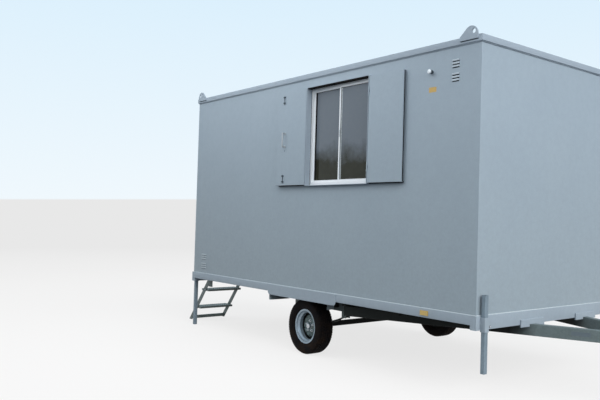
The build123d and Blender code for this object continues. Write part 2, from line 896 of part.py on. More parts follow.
def jockey_stand():
    """Clamp on the side of the head, stem, crank and fork."""
    half = clamp_w / 2
    stand = block(
        (stem_x - half, stem_x + half),
        (head_w / 2, stem_y + half),
        (mid_beam_z - clamp_h / 2, mid_beam_z + clamp_h / 2),
    )
    top = skirt_z + stem_top
    stand += rod((stem_x, stem_y, fork_z), (stem_x, stem_y, top), stem_r)
    stand += rod((stem_x, stem_y, top), (stem_x, stem_y, top + crank_rise), crank_r)
    knee = (stem_x, stem_y, top + crank_rise - crank_r)
    stand += rod(knee, (stem_x - crank_l, stem_y, knee[2]), crank_r)
    grip = (stem_x - crank_l + crank_r, stem_y, knee[2])
    stand += rod(grip, (grip[0], stem_y, grip[2] + crank_rise), crank_r)
    inner = jockey_w / 2 + fork_gap
    stand += block(
        (stem_x - stem_r, stem_x + stem_r),
        (stem_y - inner - fork_t, stem_y + inner + fork_t),
        (fork_z, fork_z + fork_t),
    )
    for side in (-1, 1):
        face = stem_y + side * inner
        stand += block(
            (stem_x - stem_r, stem_x + stem_r),
            (face, face + side * fork_t),
            (jockey_r - stem_r, fork_z + fork_t),
        )
    reach = inner + fork_t
    stand += rod((stem_x, stem_y - reach, jockey_r), (stem_x, stem_y + reach, jockey_r), jockey_pin_r)
    return [stand]


def jockey_wheel():
    half = jockey_w / 2
    wheel = rod((stem_x, stem_y - half, jockey_r), (stem_x, stem_y + half, jockey_r), jockey_r)
    wheel = fillet(wheel.edges(), jockey_r / 10)
    bore = rod((stem_x, stem_y - half, jockey_r), (stem_x, stem_y + half, jockey_r), jockey_pin_r + fit)
    return [wheel - bore]


# Every node and its solids -------------------------------------------------------------
beam_near = drawbar_beam()
rim_near = wheel_rim()
tyre_near = tyre()
nodes = {
    "floor_deck": floor_deck(),
    "floor_joists": floor_joists(),
    "side_rails": side_rails(),
    "end_rails": end_rails(),
    "wall_near": wall_near(),
    "wall_far": wall_far(),
    "wall_front": wall_front(),
    "wall_rear_near": wall_rear_near(),
    "wall_rear_far": wall_rear_far(),
    "wall_rear_head": wall_rear_head(),
    "roof_panel": roof_panel(),
    "roof_side_rails": roof_side_rails(),
    "roof_end_rails": roof_end_rails(),
    "lifting_lugs": lifting_lugs(),
    "window_surround": window_surround(),
    "window_frame": window_frame(),
    "sash_front": sash(front_sash),
    "sash_rear": sash(rear_sash),
    "window_panes": window_panes(),
    "shutter_front": shutter_leaf(front_hinge_x, 1, front_leaf_w),
    "shutter_rear": shutter_leaf(rear_hinge_x, -1, rear_leaf_w),
    "shutter_fittings": shutter_fittings(),
    "shutter_hinges": shutter_hinges(),
    "louvre_vents": louvre_vents(),
    "pipe_stub": pipe_stub(),
    "side_reflectors": side_reflectors(),
    "leg_sleeves": leg_sleeves(),
    "leg_near_front": corner_leg(1, -1, leg_lift),
    "leg_far_front": corner_leg(1, 1, leg_lift),
    "leg_near_rear": corner_leg(-1, -1, 0),
    "leg_far_rear": corner_leg(-1, 1, 0),
    "door_frame": door_frame(),
    "door_leaf": door_leaf(),
    "step_stringers": step_stringers(),
    "step_treads": step_treads(),
    "wheel_side_plates": wheel_side_plates(),
    "drawbar_beam_near": beam_near,
    "drawbar_beam_far": [far_copy(beam_near[0])],
    "drawbar_cleats": drawbar_cleats(),
    "chassis_cross_beams": chassis_cross_beams(),
    "spring_rails": spring_rails(),
    "leaf_springs": leaf_springs(),
    "axle_beam": axle_beam(),
    "rim_near": [rim_near],
    "rim_far": [far_copy(rim_near)],
    "tyre_near": [tyre_near],
    "tyre_far": [far_copy(tyre_near)],
    "tow_coupling": tow_coupling(),
    "jockey_stand": jockey_stand(),
    "jockey_wheel": jockey_wheel(),
}

os.makedirs("parts", exist_ok=True)
for name, pieces in nodes.items():
    solids = [solid for piece in pieces for solid in piece.solids()]
    node = Compound(solids).moved(Location((-origin_x, 0, 0)))
    node.label = name
    export_step(node, f"parts/{name}.step")
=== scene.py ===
"""Dresses the towable site cabin: paint, glass, rubber and the small fittings of each assembly."""

import logging
import math
from contextlib import contextmanager
from dataclasses import dataclass, field, replace
from enum import Enum
from functools import cached_property
from itertools import product
from typing import Any, Callable, ClassVar, Iterator, Sequence

import bmesh
import bpy
from mathutils import Matrix, Vector


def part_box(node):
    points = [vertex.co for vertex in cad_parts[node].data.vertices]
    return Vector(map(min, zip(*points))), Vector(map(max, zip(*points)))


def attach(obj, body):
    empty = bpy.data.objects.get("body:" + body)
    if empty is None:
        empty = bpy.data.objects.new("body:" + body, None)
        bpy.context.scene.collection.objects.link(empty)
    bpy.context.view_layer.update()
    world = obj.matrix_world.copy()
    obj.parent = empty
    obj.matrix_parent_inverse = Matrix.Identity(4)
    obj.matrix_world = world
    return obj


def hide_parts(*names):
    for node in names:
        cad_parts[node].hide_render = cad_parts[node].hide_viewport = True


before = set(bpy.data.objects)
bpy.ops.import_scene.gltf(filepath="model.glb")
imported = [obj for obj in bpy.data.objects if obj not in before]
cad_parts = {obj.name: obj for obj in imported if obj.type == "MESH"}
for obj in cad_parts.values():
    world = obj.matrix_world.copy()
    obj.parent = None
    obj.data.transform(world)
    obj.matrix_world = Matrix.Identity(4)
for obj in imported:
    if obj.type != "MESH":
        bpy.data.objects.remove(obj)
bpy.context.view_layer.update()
LOG = logging.getLogger("cabin")

Triple = tuple[float, float, float]
Colour = Triple
Pair = tuple[float, float]
Point = Sequence[float]
Test = Callable[[Vector, Vector], bool]
MM = 0.001
TINY = 1e-5  # points this close are one, and no slab is thinner
RIMS = 50.0  # degrees: on turned and folded pieces only sharper edges are rounded
NEARWARD, REARWARD, UPWARD = Vector((0, -1, 0)), Vector((-1, 0, 0)), Vector((0, 0, 1))


# Places taken from the frame --------------------
def corners(node: str) -> list[Vector]:
    """Give the corner points of a CAD node."""
    return [vertex.co.copy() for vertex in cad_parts[node].data.vertices]


def off_axle(point: Vector, hub: Vector) -> float:
    """Give a point's distance from an axle that lies along Y."""
    return math.hypot(point.x - hub.x, point.z - hub.z)


@dataclass(frozen=True)
class Limits:
    """Lowest and highest corner of a CAD node, or of a space worked out from one."""

    low: Vector
    high: Vector

    @classmethod
    def of(cls, node: str) -> "Limits":
        """Read the limits of a CAD node from the frame."""
        low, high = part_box(node)
        return cls(Vector(low), Vector(high))

    @classmethod
    def round_points(cls, points: Sequence[Vector]) -> "Limits":
        """Give the limits of a set of points."""
        return cls(Vector(map(min, zip(*points))), Vector(map(max, zip(*points))))

    @classmethod
    def each(cls, node: str) -> list["Limits"]:
        """Read the limits of every separate solid of a CAD node, in order of place.

        Args:
            node: the CAD node's name.

        Returns:
            One Limits for each solid.
        """
        work = bmesh.new()
        work.from_mesh(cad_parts[node].data)
        bmesh.ops.remove_doubles(work, verts=work.verts, dist=TINY)
        left, found = set(work.verts), []
        while left:
            todo, group = [left.pop()], []
            while todo:
                vertex = todo.pop()
                group.append(vertex.co.copy())
                linked = {edge.other_vert(vertex) for edge in vertex.link_edges} & left
                left -= linked
                todo.extend(linked)
            found.append(cls.round_points(group))
        work.free()
        return sorted(found, key=lambda space: tuple(round(v, 4) for v in space.low))

    @property
    def mid(self) -> Vector:
        """Middle of the space."""
        return (self.low + self.high) / 2

    @property
    def size(self) -> Vector:
        """Extents along X, Y and Z."""
        return self.high - self.low

    def face(self, way: float, axis: int = 1) -> float:
        """Give the place along an axis of the face that looks towards its low (-1) or high (1) end."""
        return (self.high if way > 0 else self.low)[axis]


class Side(Enum):
    """Long sides of the cabin, by the sign of Y."""

    NEAR = -1
    FAR = 1


class End(Enum):
    """Short ends of the cabin, by the sign of X from the axle."""

    REAR = -1
    FRONT = 1


# Modelling bench --------------------
def clear_selection() -> None:
    """Deselect every object, as the frame leaves its nodes selected."""
    bpy.ops.object.select_all(action="DESELECT")


def facing(direction: Vector) -> Test:
    """Make a test for faces that look one way."""
    return lambda centre, normal: normal.dot(direction) > 0.9


class Piece:
    """One mesh while it is modelled, always in place in the frame."""

    def __init__(self, obj: bpy.types.Object) -> None:
        """Take hold of an object that is already in place."""
        self.obj = obj

    @classmethod
    def _taken(cls, name: str) -> "Piece":
        """Name the primitive that was just added and apply its place."""
        bpy.ops.object.transform_apply(location=True, rotation=True, scale=True)
        return cls(bpy.context.active_object).named(name)

    @classmethod
    def slab(cls, name: str, low: Point, high: Point) -> "Piece":
        """Add a box between two opposite corners, in metres.

        Args:
            name: the piece's name.
            low: one corner, in metres.
            high: the opposite corner.

        Returns:
            The new piece.
        """
        a, b = Vector(low), Vector(high)
        clear_selection()
        bpy.ops.mesh.primitive_cube_add(size=1.0, location=(a + b) / 2)
        bpy.context.active_object.scale = [max(abs(d), TINY) for d in (b - a)]
        return cls._taken(name)

    @classmethod
    def bar(
        cls, name: str, start: Point, end: Point, radius: float, sides: int = 24
    ) -> "Piece":
        """Add a round bar.

        Args:
            name: the piece's name.
            start: centre of one end.
            end: centre of the other end.
            radius: the bar's radius.
            sides: number of faces round it.

        Returns:
            The new piece.
        """
        a, b = Vector(start), Vector(end)
        turn = (b - a).to_track_quat("Z", "Y").to_euler()
        clear_selection()
        bpy.ops.mesh.primitive_cylinder_add(
            vertices=sides, radius=radius, depth=(b - a).length, location=(a + b) / 2, rotation=turn
        )
        return cls._taken(name)

    @classmethod
    def ball(cls, name: str, centre: Point, radii: Point, sides: int = 12) -> "Piece":
        """Add a smooth ellipsoid by its centre and three radii.

        Args:
            name: the piece's name.
            centre: its middle.
            radii: radii along X, Y and Z.
            sides: number of faces round it.

        Returns:
            The new piece.
        """
        clear_selection()
        bpy.ops.mesh.primitive_uv_sphere_add(
            segments=sides, ring_count=max(6, sides // 2), radius=1.0, location=centre
        )
        bpy.context.active_object.scale = radii
        return cls._taken(name).smooth(180)

    @classmethod
    def hoop(cls, name: str, low: Point, high: Point, width: float) -> "Piece":
        """Add a rectangular frame that faces along Y, with bars of one width.

        Args:
            name: the piece's name.
            low: one outer corner.
            high: the opposite outer corner.
            width: width of its bars.

        Returns:
            The new piece.
        """
        piece = cls.slab(name, low, high)
        with piece.editing():
            piece.pick("FACE", lambda centre, normal: abs(normal.y) > 0.9)
            bpy.ops.mesh.inset(thickness=width, use_even_offset=True)
            bpy.ops.mesh.bridge_edge_loops()
        return piece.weld_up()

    @classmethod
    def turned(
        cls, name: str, hub: Vector, outline: Sequence[Pair], steps: int = 64
    ) -> "Piece":
        """Turn an outline about an axle that lies along Y.

        Args:
            name: the piece's name.
            hub: a point on the axle.
            outline: (y, radius) points, from one end of the turned shape to the other.
            steps: number of faces round it.

        Returns:
            The new piece, left open at the outline's ends where they are off the axle.
        """
        points = [Vector((hub.x, y, hub.z + r)) for y, r in outline]
        clear_selection()
        bpy.ops.mesh.primitive_plane_add(size=MM, location=points[0])
        piece = cls._taken(name)
        with piece.editing():
            bpy.ops.mesh.select_all(action="SELECT")
            bpy.ops.mesh.merge(type="CENTER")
            for here, there in zip(points, points[1:]):
                bpy.ops.mesh.extrude_region_move(TRANSFORM_OT_translate={"value": there - here})
            bpy.ops.mesh.select_all(action="SELECT")
            bpy.ops.mesh.spin(steps=steps, angle=math.tau, center=hub, axis=(0, 1, 0))
        return piece.weld_up().smooth(35)

    @classmethod
    def from_node(cls, name: str, node: str) -> "Piece":
        """Copy a CAD node and join up its loose triangles into clean flat faces.

        Args:
            name: the piece's name.
            node: CAD node to copy.

        Returns:
            The new piece.
        """
        obj = bpy.data.objects.new(name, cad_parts[node].data.copy())
        obj.data.materials.clear()
        bpy.context.scene.collection.objects.link(obj)
        piece = cls(obj).named(name)
        with piece.editing():
            bpy.ops.mesh.select_all(action="SELECT")
            bpy.ops.mesh.remove_doubles(threshold=TINY)
            bpy.ops.mesh.dissolve_limited(angle_limit=math.radians(0.6))
        return piece

    @classmethod
    def group(cls, name: str, pieces: Sequence["Piece"]) -> "Piece":
        """Join pieces into one, as separate shells."""
        return pieces[0].joined(*pieces[1:]).named(name)

    def named(self, name: str) -> "Piece":
        """Name the object and its mesh."""
        self.obj.name = self.obj.data.name = name
        return self

    @contextmanager
    def editing(self) -> Iterator[None]:
        """Hold the piece in edit mode with nothing selected.

        Returns:
            A context that ends in object mode.
        """
        self.activate()
        bpy.ops.object.mode_set(mode="EDIT")
        bpy.ops.mesh.select_mode(type="VERT")
        bpy.ops.mesh.select_all(action="DESELECT")
        try:
            yield
        finally:
            bpy.ops.object.mode_set(mode="OBJECT")

    def activate(self) -> None:
        """Make this the only selected and active object."""
        clear_selection()
        self.obj.select_set(True)
        bpy.context.view_layer.objects.active = self.obj

    def pick(self, kind: str, test: Test) -> int:
        """Select the faces or the edges that pass a test, in edit mode.

        Args:
            kind: FACE or EDGE.
            test: takes a face's centre and normal, or an edge's two ends.

        Returns:
            How many are selected.
        """
        bpy.ops.mesh.select_mode(type=kind)
        work = bmesh.from_edit_mesh(self.obj.data)
        if kind == "FACE":
            work.normal_update()
            found = [(face, face.calc_center_median(), face.normal) for face in work.faces]
        else:
            found = [(edge, *(vertex.co for vertex in edge.verts)) for edge in work.edges]
        for part, first, second in found:
            part.select_set(test(first, second))
        work.select_flush_mode()
        bmesh.update_edit_mesh(self.obj.data)
        return sum(part.select for part, *_ in found)

    def press(self, test: Test, inset: float, depth: float) -> "Piece":
        """Inset the faces that pass a test and move them.

        Args:
            test: takes a face's centre and normal.
            inset: width of the rim that is left.
            depth: how far the faces move along their normal; negative is inwards.

        Returns:
            The same piece.
        """
        with self.editing():
            if self.pick("FACE", test):
                bpy.ops.mesh.inset(thickness=inset, depth=depth, use_even_offset=True)
        return self

    def chamfer(self, test: Test, width: float, segments: int = 3) -> "Piece":
        """Bevel the edges whose ends pass a test.

        Args:
            test: takes an edge's two ends.
            width: width of the bevel.
            segments: faces across it.

        Returns:
            The same piece.
        """
        with self.editing():
            if self.pick("EDGE", test):
                bpy.ops.mesh.bevel(offset=width, segments=segments, affect="EDGES")
        return self.smooth()

    def weld_up(self) -> "Piece":
        """Merge doubled points and turn every face outwards.

        Returns:
            The same piece.
        """
        with self.editing():
            bpy.ops.mesh.select_all(action="SELECT")
            bpy.ops.mesh.remove_doubles(threshold=TINY)
            bpy.ops.mesh.normals_make_consistent(inside=False)
        return self

    def modify(self, kind: str, **settings: Any) -> "Piece":
        """Add a modifier, set its properties and apply it.

        Args:
            kind: the modifier's type.
            **settings: its properties.

        Returns:
            The same piece.
        """
        self.activate()
        modifier = self.obj.modifiers.new(kind.title(), kind)
        for key, value in settings.items():
            setattr(modifier, key, value)
        bpy.ops.object.modifier_apply(modifier=modifier.name)
        return self

    def ease(self, width: float, segments: int = 2, angle: float = 32.0) -> "Piece":
        """Round every edge sharper than an angle and shade the rest smooth.

        Args:
            width: width of the rounding.
            segments: faces across it.
            angle: edges sharper than this are rounded, in degrees.

        Returns:
            The same piece.
        """
        self.modify(
            "BEVEL", width=width, segments=segments, limit_method="ANGLE",
            angle_limit=math.radians(angle), harden_normals=False, use_clamp_overlap=True,
        )
        self.smooth(angle)
        return self.modify("WEIGHTED_NORMAL", keep_sharp=True, weight=100)

    def smooth(self, angle: float = 40.0) -> "Piece":
        """Shade smooth, with sharp edges kept.

        Args:
            angle: edges sharper than this are kept, in degrees.

        Returns:
            The same piece.
        """
        self.activate()
        bpy.ops.object.shade_smooth_by_angle(angle=math.radians(angle), keep_sharp_edges=False)
        return self

    def minus(self, *cutters: "Piece") -> "Piece":
        """Cut other pieces out of this one and remove them.

        Args:
            *cutters: pieces to cut away, used up here.

        Returns:
            The same piece.
        """
        for cutter in cutters:
            self.modify("BOOLEAN", operation="DIFFERENCE", object=cutter.obj, solver="EXACT")
            bpy.data.objects.remove(cutter.obj)
        return self.smooth()

    def joined(self, *others: "Piece") -> "Piece":
        """Join other pieces into this one as separate shells.

        Args:
            *others: pieces to join, used up here.

        Returns:
            The same piece.
        """
        if others:
            self.activate()
            for other in others:
                other.obj.select_set(True)
            bpy.ops.object.join()
        return self

    def copy(self) -> "Piece":
        """Copy the piece, with its own mesh.

        Returns:
            The copy.
        """
        obj = self.obj.copy()
        obj.data = self.obj.data.copy()
        bpy.context.scene.collection.objects.link(obj)
        return Piece(obj)

    def spin(self, centre: Point, axis: Point, turn: float) -> "Piece":
        """Turn the piece round an axis.

        Args:
            centre: a point on the axis.
            axis: its direction.
            turn: how far, in radians.

        Returns:
            The same piece.
        """
        place = Matrix.Translation(centre)
        self.obj.data.transform(place @ Matrix.Rotation(turn, 4, Vector(axis)) @ place.inverted())
        return self

    def in_row(self, count: int, step: Point) -> "Piece":
        """Repeat the piece along a line, a step apart, as one piece of so many copies."""
        fixed = {"use_relative_offset": False, "use_constant_offset": True, "constant_offset_displace": step}
        return self.modify("ARRAY", count=count, **fixed)

    def round_axle(self, centre: Point, doublings: int) -> "Piece":
        """Repeat the piece evenly round an axle along Y.

        Args:
            centre: a point on the axle.
            doublings: how many times the number doubles.

        Returns:
            The same piece.
        """
        for k in range(doublings):
            self.joined(self.copy().spin(centre, (0, 1, 0), math.tau / 2 ** (doublings - k)))
        return self

    def finish(self, look: "Finish", *replaces: str, body: str = "cabin") -> "Piece":
        """Give the piece its material, its body and the CAD nodes that it stands for.

        Args:
            look: the finish of its whole surface.
            *replaces: CAD nodes that it stands for.
            body: the CAD body that it rides on.

        Returns:
            The same piece.
        """
        self.obj.data.materials.clear()
        self.obj.data.materials.append(look.material())
        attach(self.obj, body)
        if replaces:
            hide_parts(*replaces)
        LOG.info("%s: %d faces on %s", self.obj.name, len(self.obj.data.polygons), body)
        return self


def dress(name: str, node: str, look: "Finish", width: float, segments: int = 2) -> None:
    """Round the edges of a CAD node's copy and finish it in the node's place."""
    Piece.from_node(name, node).ease(width, segments, RIMS).finish(look, node)


def strip(name: str, low: Point, high: Point, edge: float, look: "Finish") -> None:
    """Model a straight strip between two corners, with eased edges, and finish it on the cabin."""
    Piece.slab(name, low, high).ease(edge).finish(look)


def rod(
    start: Point, end: Point, radius: float, sides: int = 24, edge: float = MM
) -> Piece:
    """Model a round rod with both its rims eased."""
    return Piece.bar("rod", start, end, radius, sides).ease(edge, 2, RIMS)


def sign(value: float) -> float:
    """Give -1 or 1, as the value's sign."""
    return math.copysign(1, value)


def half_of(size: Point) -> Vector:
    """Give half of a width along X and of a height along Z."""
    return Vector((size[0] / 2, 0, size[1] / 2))


def bolt_head(at: Vector, way: Vector, radius: float, height: float) -> Piece:
    """Model a hexagon head on its washer.

    Args:
        at: middle of the washer's seat.
        way: direction that the head stands out.
        radius: across the head's corners, halved.
        height: of the head above the washer.

    Returns:
        Head and washer as one piece.
    """
    seat = at + way * height * 0.2
    washer = Piece.bar("washer", at, seat, radius * 1.35, 24).ease(height * 0.06, 1)
    head = Piece.bar("head", seat, seat + way * height, radius, 6)
    top = height * 0.9
    head.chamfer(lambda a, b: min((a - seat).dot(way), (b - seat).dot(way)) > top, height * 0.16, 2)
    return head.smooth(25).joined(washer)


def weld_bead(start: Vector, end: Vector, radius: float) -> Piece:
    """Model a weld bead as a row of overlapping ripples.

    Args:
        start: middle of one end.
        end: middle of the other.
        radius: of each ripple.

    Returns:
        The bead.
    """
    count = max(2, int((end - start).length / (radius * 1.1)))
    step = (end - start) / count
    return Piece.ball("bead", start + step / 2, (radius, radius, radius), 8).in_row(count, step)


# Shader maths --------------------
class Sock:
    """A shader value that adds, subtracts and multiplies as a number does."""

    def __init__(self, graph: "Graph", socket: bpy.types.NodeSocket) -> None:
        """Wrap an output socket of a graph."""
        self.graph, self.socket = graph, socket

    def _maths(self, operation: str, *values: Any) -> "Sock":
        """Add a Math node on these values."""
        return self.graph.node("ShaderNodeMath", {"operation": operation}, dict(enumerate(values)))

    def __add__(self, other: Any) -> "Sock":
        """Sum."""
        return self._maths("ADD", self, other)

    __radd__ = __add__

    def __mul__(self, other: Any) -> "Sock":
        """Product."""
        return self._maths("MULTIPLY", self, other)

    __rmul__ = __mul__

    def __sub__(self, other: Any) -> "Sock":
        """Difference."""
        return self._maths("SUBTRACT", self, other)

    def __rsub__(self, other: Any) -> "Sock":
        """Difference from a number."""
        return self._maths("SUBTRACT", other, self)

    def between(self, low: float, high: float, to_low: float = 0.0, to_high: float = 1.0) -> "Sock":
        """Stretch the values from low to high over another span, and clamp them."""
        inputs = dict(enumerate((self, low, high, to_low, to_high)))
        return self.graph.node("ShaderNodeMapRange", {"clamp": True}, inputs)

    def out(self, name: str) -> "Sock":
        """Give another output of the same node."""
        return Sock(self.graph, self.socket.node.outputs[name])


class Graph:
    """A node tree that ends in one surface shader."""

    def __init__(self, tree: bpy.types.NodeTree) -> None:
        """Start an empty tree with object coordinates to hand.

        Args:
            tree: the material's own nodes.
        """
        self.tree = tree
        tree.nodes.clear()
        self.place = self.node("ShaderNodeTexCoord").out("Object")

    def node(
        self, kind: str, settings: dict[str, Any] | None = None, inputs: dict[Any, Any] | None = None
    ) -> Sock:
        """Add a node, set it, then fill or link its sockets.

        Args:
            kind: the node's type.
            settings: its properties.
            inputs: values or Socks by socket name or index.

        Returns:
            The node's first output.
        """
        made = self.tree.nodes.new(kind)
        for key, value in (settings or {}).items():
            setattr(made, key, value)
        for key, value in (inputs or {}).items():
            socket = made.inputs[key]
            if isinstance(value, Sock):
                self.tree.links.new(value.socket, socket)
            elif isinstance(value, tuple) and socket.type == "RGBA":
                socket.default_value = (*value[:3], 1.0)
            else:
                socket.default_value = value
        return Sock(self, made.outputs[0])

    def ends(self, kind: str, surface: Sock) -> None:
        """Lead a shader to the tree's output."""
        output = self.tree.nodes.new(kind)
        self.tree.links.new(surface.socket, output.inputs["Surface"])

    def stretched(self, scale: Point) -> Sock:
        """Object coordinates times a scale for each axis."""
        return self.node("ShaderNodeMapping", {}, {"Vector": self.place, "Scale": scale})

    def noise(self, scale: float, detail: float = 3.0, rough: float = 0.5, over: Sock | None = None) -> Sock:
        """Cloudy pattern about 0.5, of so many clouds a metre, on other coordinates where given."""
        inputs = {"Vector": over or self.place, "Scale": scale, "Detail": detail, "Roughness": rough}
        return self.node("ShaderNodeTexNoise", {}, inputs).out("Fac")

    def cells(self, scale: float) -> Sock:
        """Pattern of scattered cells, as the distance from their middles."""
        return self.node("ShaderNodeTexVoronoi", {}, {"Vector": self.place, "Scale": scale})

    def height(self) -> Sock:
        """Height above the ground."""
        return self.node("ShaderNodeSeparateXYZ", {}, {0: self.place}).out("Z")

    def mix(self, amount: Any, first: Any, second: Any) -> Sock:
        """Colour between two colours."""
        made = self.node("ShaderNodeMix", {"data_type": "RGBA"}, {0: amount, 6: first, 7: second})
        return Sock(self, made.socket.node.outputs[2])

    def bump(self, height: Sock, distance: float, strength: float = 1.0, under: Sock | None = None) -> Sock:
        """Normal from a height pattern, on top of another where one is given."""
        inputs = {"Height": height, "Distance": distance, "Strength": strength}
        return self.node("ShaderNodeBump", {}, inputs | ({"Normal": under} if under else {}))


@dataclass(frozen=True)
class Finish:
    """A finish that builds its material once."""

    name: str
    slot: str
    _made: ClassVar[dict[str, bpy.types.Material]] = {}

    def sockets(self, g: Graph) -> dict[str, Any]:
        """Give the shader's inputs by name, with underscores for spaces, as values or Socks of a graph."""
        raise NotImplementedError

    def material(self) -> bpy.types.Material:
        """Give the material, built on first use.

        Returns:
            The material.
        """
        key = repr(self)
        if key not in Finish._made:
            made = bpy.data.materials.new(self.name)
            made.use_nodes = True
            g = Graph(made.node_tree)
            inputs = {name.replace("_", " "): value for name, value in self.sockets(g).items()}
            g.ends("ShaderNodeOutputMaterial", g.node("ShaderNodeBsdfPrincipled", {}, inputs))
            Finish._made[key] = made
        return Finish._made[key]


@dataclass(frozen=True)
class Paint(Finish):
    """Sprayed paint on steel, with speckle, soft mottling, scuffs, and road dust with painted shade low down.
    """

    colour: Colour
    worn: Colour
    mottle: float = 0.12
    # Road dust and painted shade: how strongly the paint turns darker and greener low down.
    dust: float = 0.52
    roughness: float = 0.45
    shine: float = 0.35

    def sockets(self, g: Graph) -> dict[str, Any]:
        """Build the paint.

        Args:
            g: the graph to build in.

        Returns:
            The shader's inputs.
        """
        cloud = g.noise(1.3, 4.0, 0.55)
        speck = g.noise(90.0, 3.0, 0.7).between(0.35, 0.75)
        blotch = g.noise(17.0, 4.0, 0.65).between(0.35, 0.7)
        scuff = g.noise(6.0, 5.0, 0.75).between(0.62, 0.78)
        tone = g.mix(cloud.between(0.3, 0.7) * self.mottle * 4.0, self.colour, self.worn)
        tone = g.mix(blotch * self.mottle * 1.6, tone, tuple(c * 0.80 for c in self.colour))
        tone = g.mix(speck * self.mottle * 1.3, tone, tuple(c * 1.35 for c in self.colour))
        # Road dust and painted shade: darker and greener from 2.5 m down to 0.5 m above the ground.
        low = g.height().between(0.5, 2.5, 1.0, 0.0)
        tone = g.mix(low * self.dust * g.noise(36.0, 4.0).between(-0.25, 1.15), tone, (0.17, 0.19, 0.165))
        skin = g.bump(g.noise(420.0, 2.0) * 0.35 + g.noise(160.0, 2.0) * 0.65, 0.25 * MM)
        return {
            "Base_Color": g.mix(scuff * 0.10, tone, self.worn),
            "Roughness": cloud * 0.10 + speck * 0.08 + blotch * 0.06 + (self.roughness - 0.08),
            "Normal": g.bump(g.noise(1.7, 1.0), 9.6 * MM, 0.35, skin),
            "Specular_IOR_Level": self.shine,
        }


@dataclass(frozen=True)
class Galvanised(Finish):
    """Dipped zinc with crystal flakes, dull patches, rust freckles, and painted shade that turns it near
    black behind a place along X.
    """

    colour: Colour = (0.42, 0.45, 0.47)
    dull: Colour = (0.25, 0.27, 0.28)
    rust: float = 0.06
    metal: float = 0.5
    flake: float = 70.0
    # Painted shade: the place along X behind which the zinc is painted near black.
    shaded_to: float = -9.0
    shine: float = 0.5

    def sockets(self, g: Graph) -> dict[str, Any]:
        """Build the zinc.

        Args:
            g: the graph to build in.

        Returns:
            The shader's inputs.
        """
        flake = g.cells(self.flake).out("Color")
        grain = g.node("ShaderNodeSeparateColor", {}, {0: flake})
        cloud = g.noise(7.0, 4.0, 0.6)
        tone = g.mix(grain * 0.35 + cloud.between(0.35, 0.7) * 0.5, self.colour, self.dull)
        spot = g.noise(45.0, 4.0, 0.7).between(0.66, 0.74) * g.noise(5.0, 2.0).between(0.45, 0.7)
        along = g.node("ShaderNodeSeparateXYZ", {}, {0: g.place})
        # Painted shade: near black and not metallic behind the given place, fading out over 0.22 m.
        painted_shade = (along + cloud * 0.12).between(self.shaded_to, self.shaded_to + 0.22, 0.96, 0.0)
        tone = g.mix(painted_shade, tone, (0.006, 0.007, 0.006))
        return {
            "Base_Color": g.mix(spot * self.rust * 8.0, tone, (0.16, 0.07, 0.03)),
            "Roughness": grain * 0.16 + cloud * 0.14 + 0.36,
            "Metallic": (1.0 - painted_shade) * (1.0 - spot * 0.6) * self.metal,
            "Specular_IOR_Level": self.shine,
            "Normal": g.bump(grain * 0.3 + g.noise(240.0, 2.0) * 0.7, 0.12 * MM),
        }


@dataclass(frozen=True)
class Metal(Finish):
    """Bright or extruded metal with fine lines along one axis."""

    colour: Colour
    lines: Triple = (900.0, 900.0, 12.0)
    roughness: float = 0.30
    metal: float = 1.0
    tarnish: float = 0.12

    def sockets(self, g: Graph) -> dict[str, Any]:
        """Build the metal.

        Args:
            g: the graph to build in.

        Returns:
            The shader's inputs.
        """
        line = g.noise(1.0, 2.0, 0.5, g.stretched(self.lines))
        cloud = g.noise(18.0, 4.0, 0.6)
        dark = tuple(c * 0.45 for c in self.colour)
        tone = g.mix(cloud.between(0.45, 0.8) * self.tarnish, self.colour, dark)
        return {
            "Base_Color": g.mix(line * 0.12, tone, tuple(min(1.0, c * 1.4) for c in self.colour)),
            "Metallic": self.metal,
            "Roughness": line * 0.10 + cloud * 0.10 + (self.roughness - 0.08),
            "Normal": g.bump(line, 0.04 * MM),
        }


@dataclass(frozen=True)
class Rubber(Finish):
    """Dusty rubber, browner in patches."""

    dusty: float = 0.35
    colour: Colour = (0.003, 0.003, 0.004)
    dust: Colour = (0.048, 0.028, 0.015)

    def sockets(self, g: Graph) -> dict[str, Any]:
        """Build the rubber.

        Args:
            g: the graph to build in.

        Returns:
            The shader's inputs.
        """
        cloud = g.noise(16.0, 5.0, 0.65)
        grain = g.noise(380.0, 2.0)
        low = g.height().between(0.05, 0.45, 1.0, 0.3)
        amount = cloud.between(0.42, 0.75) * low * self.dusty + grain * 0.05
        return {
            "Base_Color": g.mix(amount, self.colour, self.dust),
            "Roughness": cloud * 0.2 + 0.7,
            "Normal": g.bump(grain + cloud * 0.6, 0.25 * MM),
            "Specular_IOR_Level": 0.08,
        }


@dataclass(frozen=True)
class Glass(Finish):
    """Window glass with a painted reflection, grey above and dark olive towards its foot, under a film of
    dust.
    """

    # Painted reflection: grey sky above, dark olive trees and ground at the foot.
    top: Colour = (0.130, 0.152, 0.180)
    foot: Colour = (0.014, 0.013, 0.003)
    foot_z: float = 2.10

    def sockets(self, g: Graph) -> dict[str, Any]:
        """Build the glass.

        Args:
            g: the graph to build in.

        Returns:
            The shader's inputs.
        """
        # Painted reflection: a ragged edge between the reflected sky and the dark foot.
        edge = g.noise(3.2, 4.0, 0.6) * 0.42 + g.noise(9.0, 3.0, 0.6) * 0.16
        rise = (g.height() - edge - (self.foot_z - 0.30)).between(-0.10, 0.14)
        film = g.noise(24.0, 4.0, 0.7).between(0.45, 0.8) * 0.05
        return {
            "Base_Color": g.mix(film, g.mix(rise, self.foot, self.top), (0.35, 0.34, 0.30)),
            "Roughness": film * 0.6 + 0.04,
            "IOR": 1.33, "Alpha": 0.95, "Coat_Weight": 0.05, "Coat_Roughness": 0.03,
        }


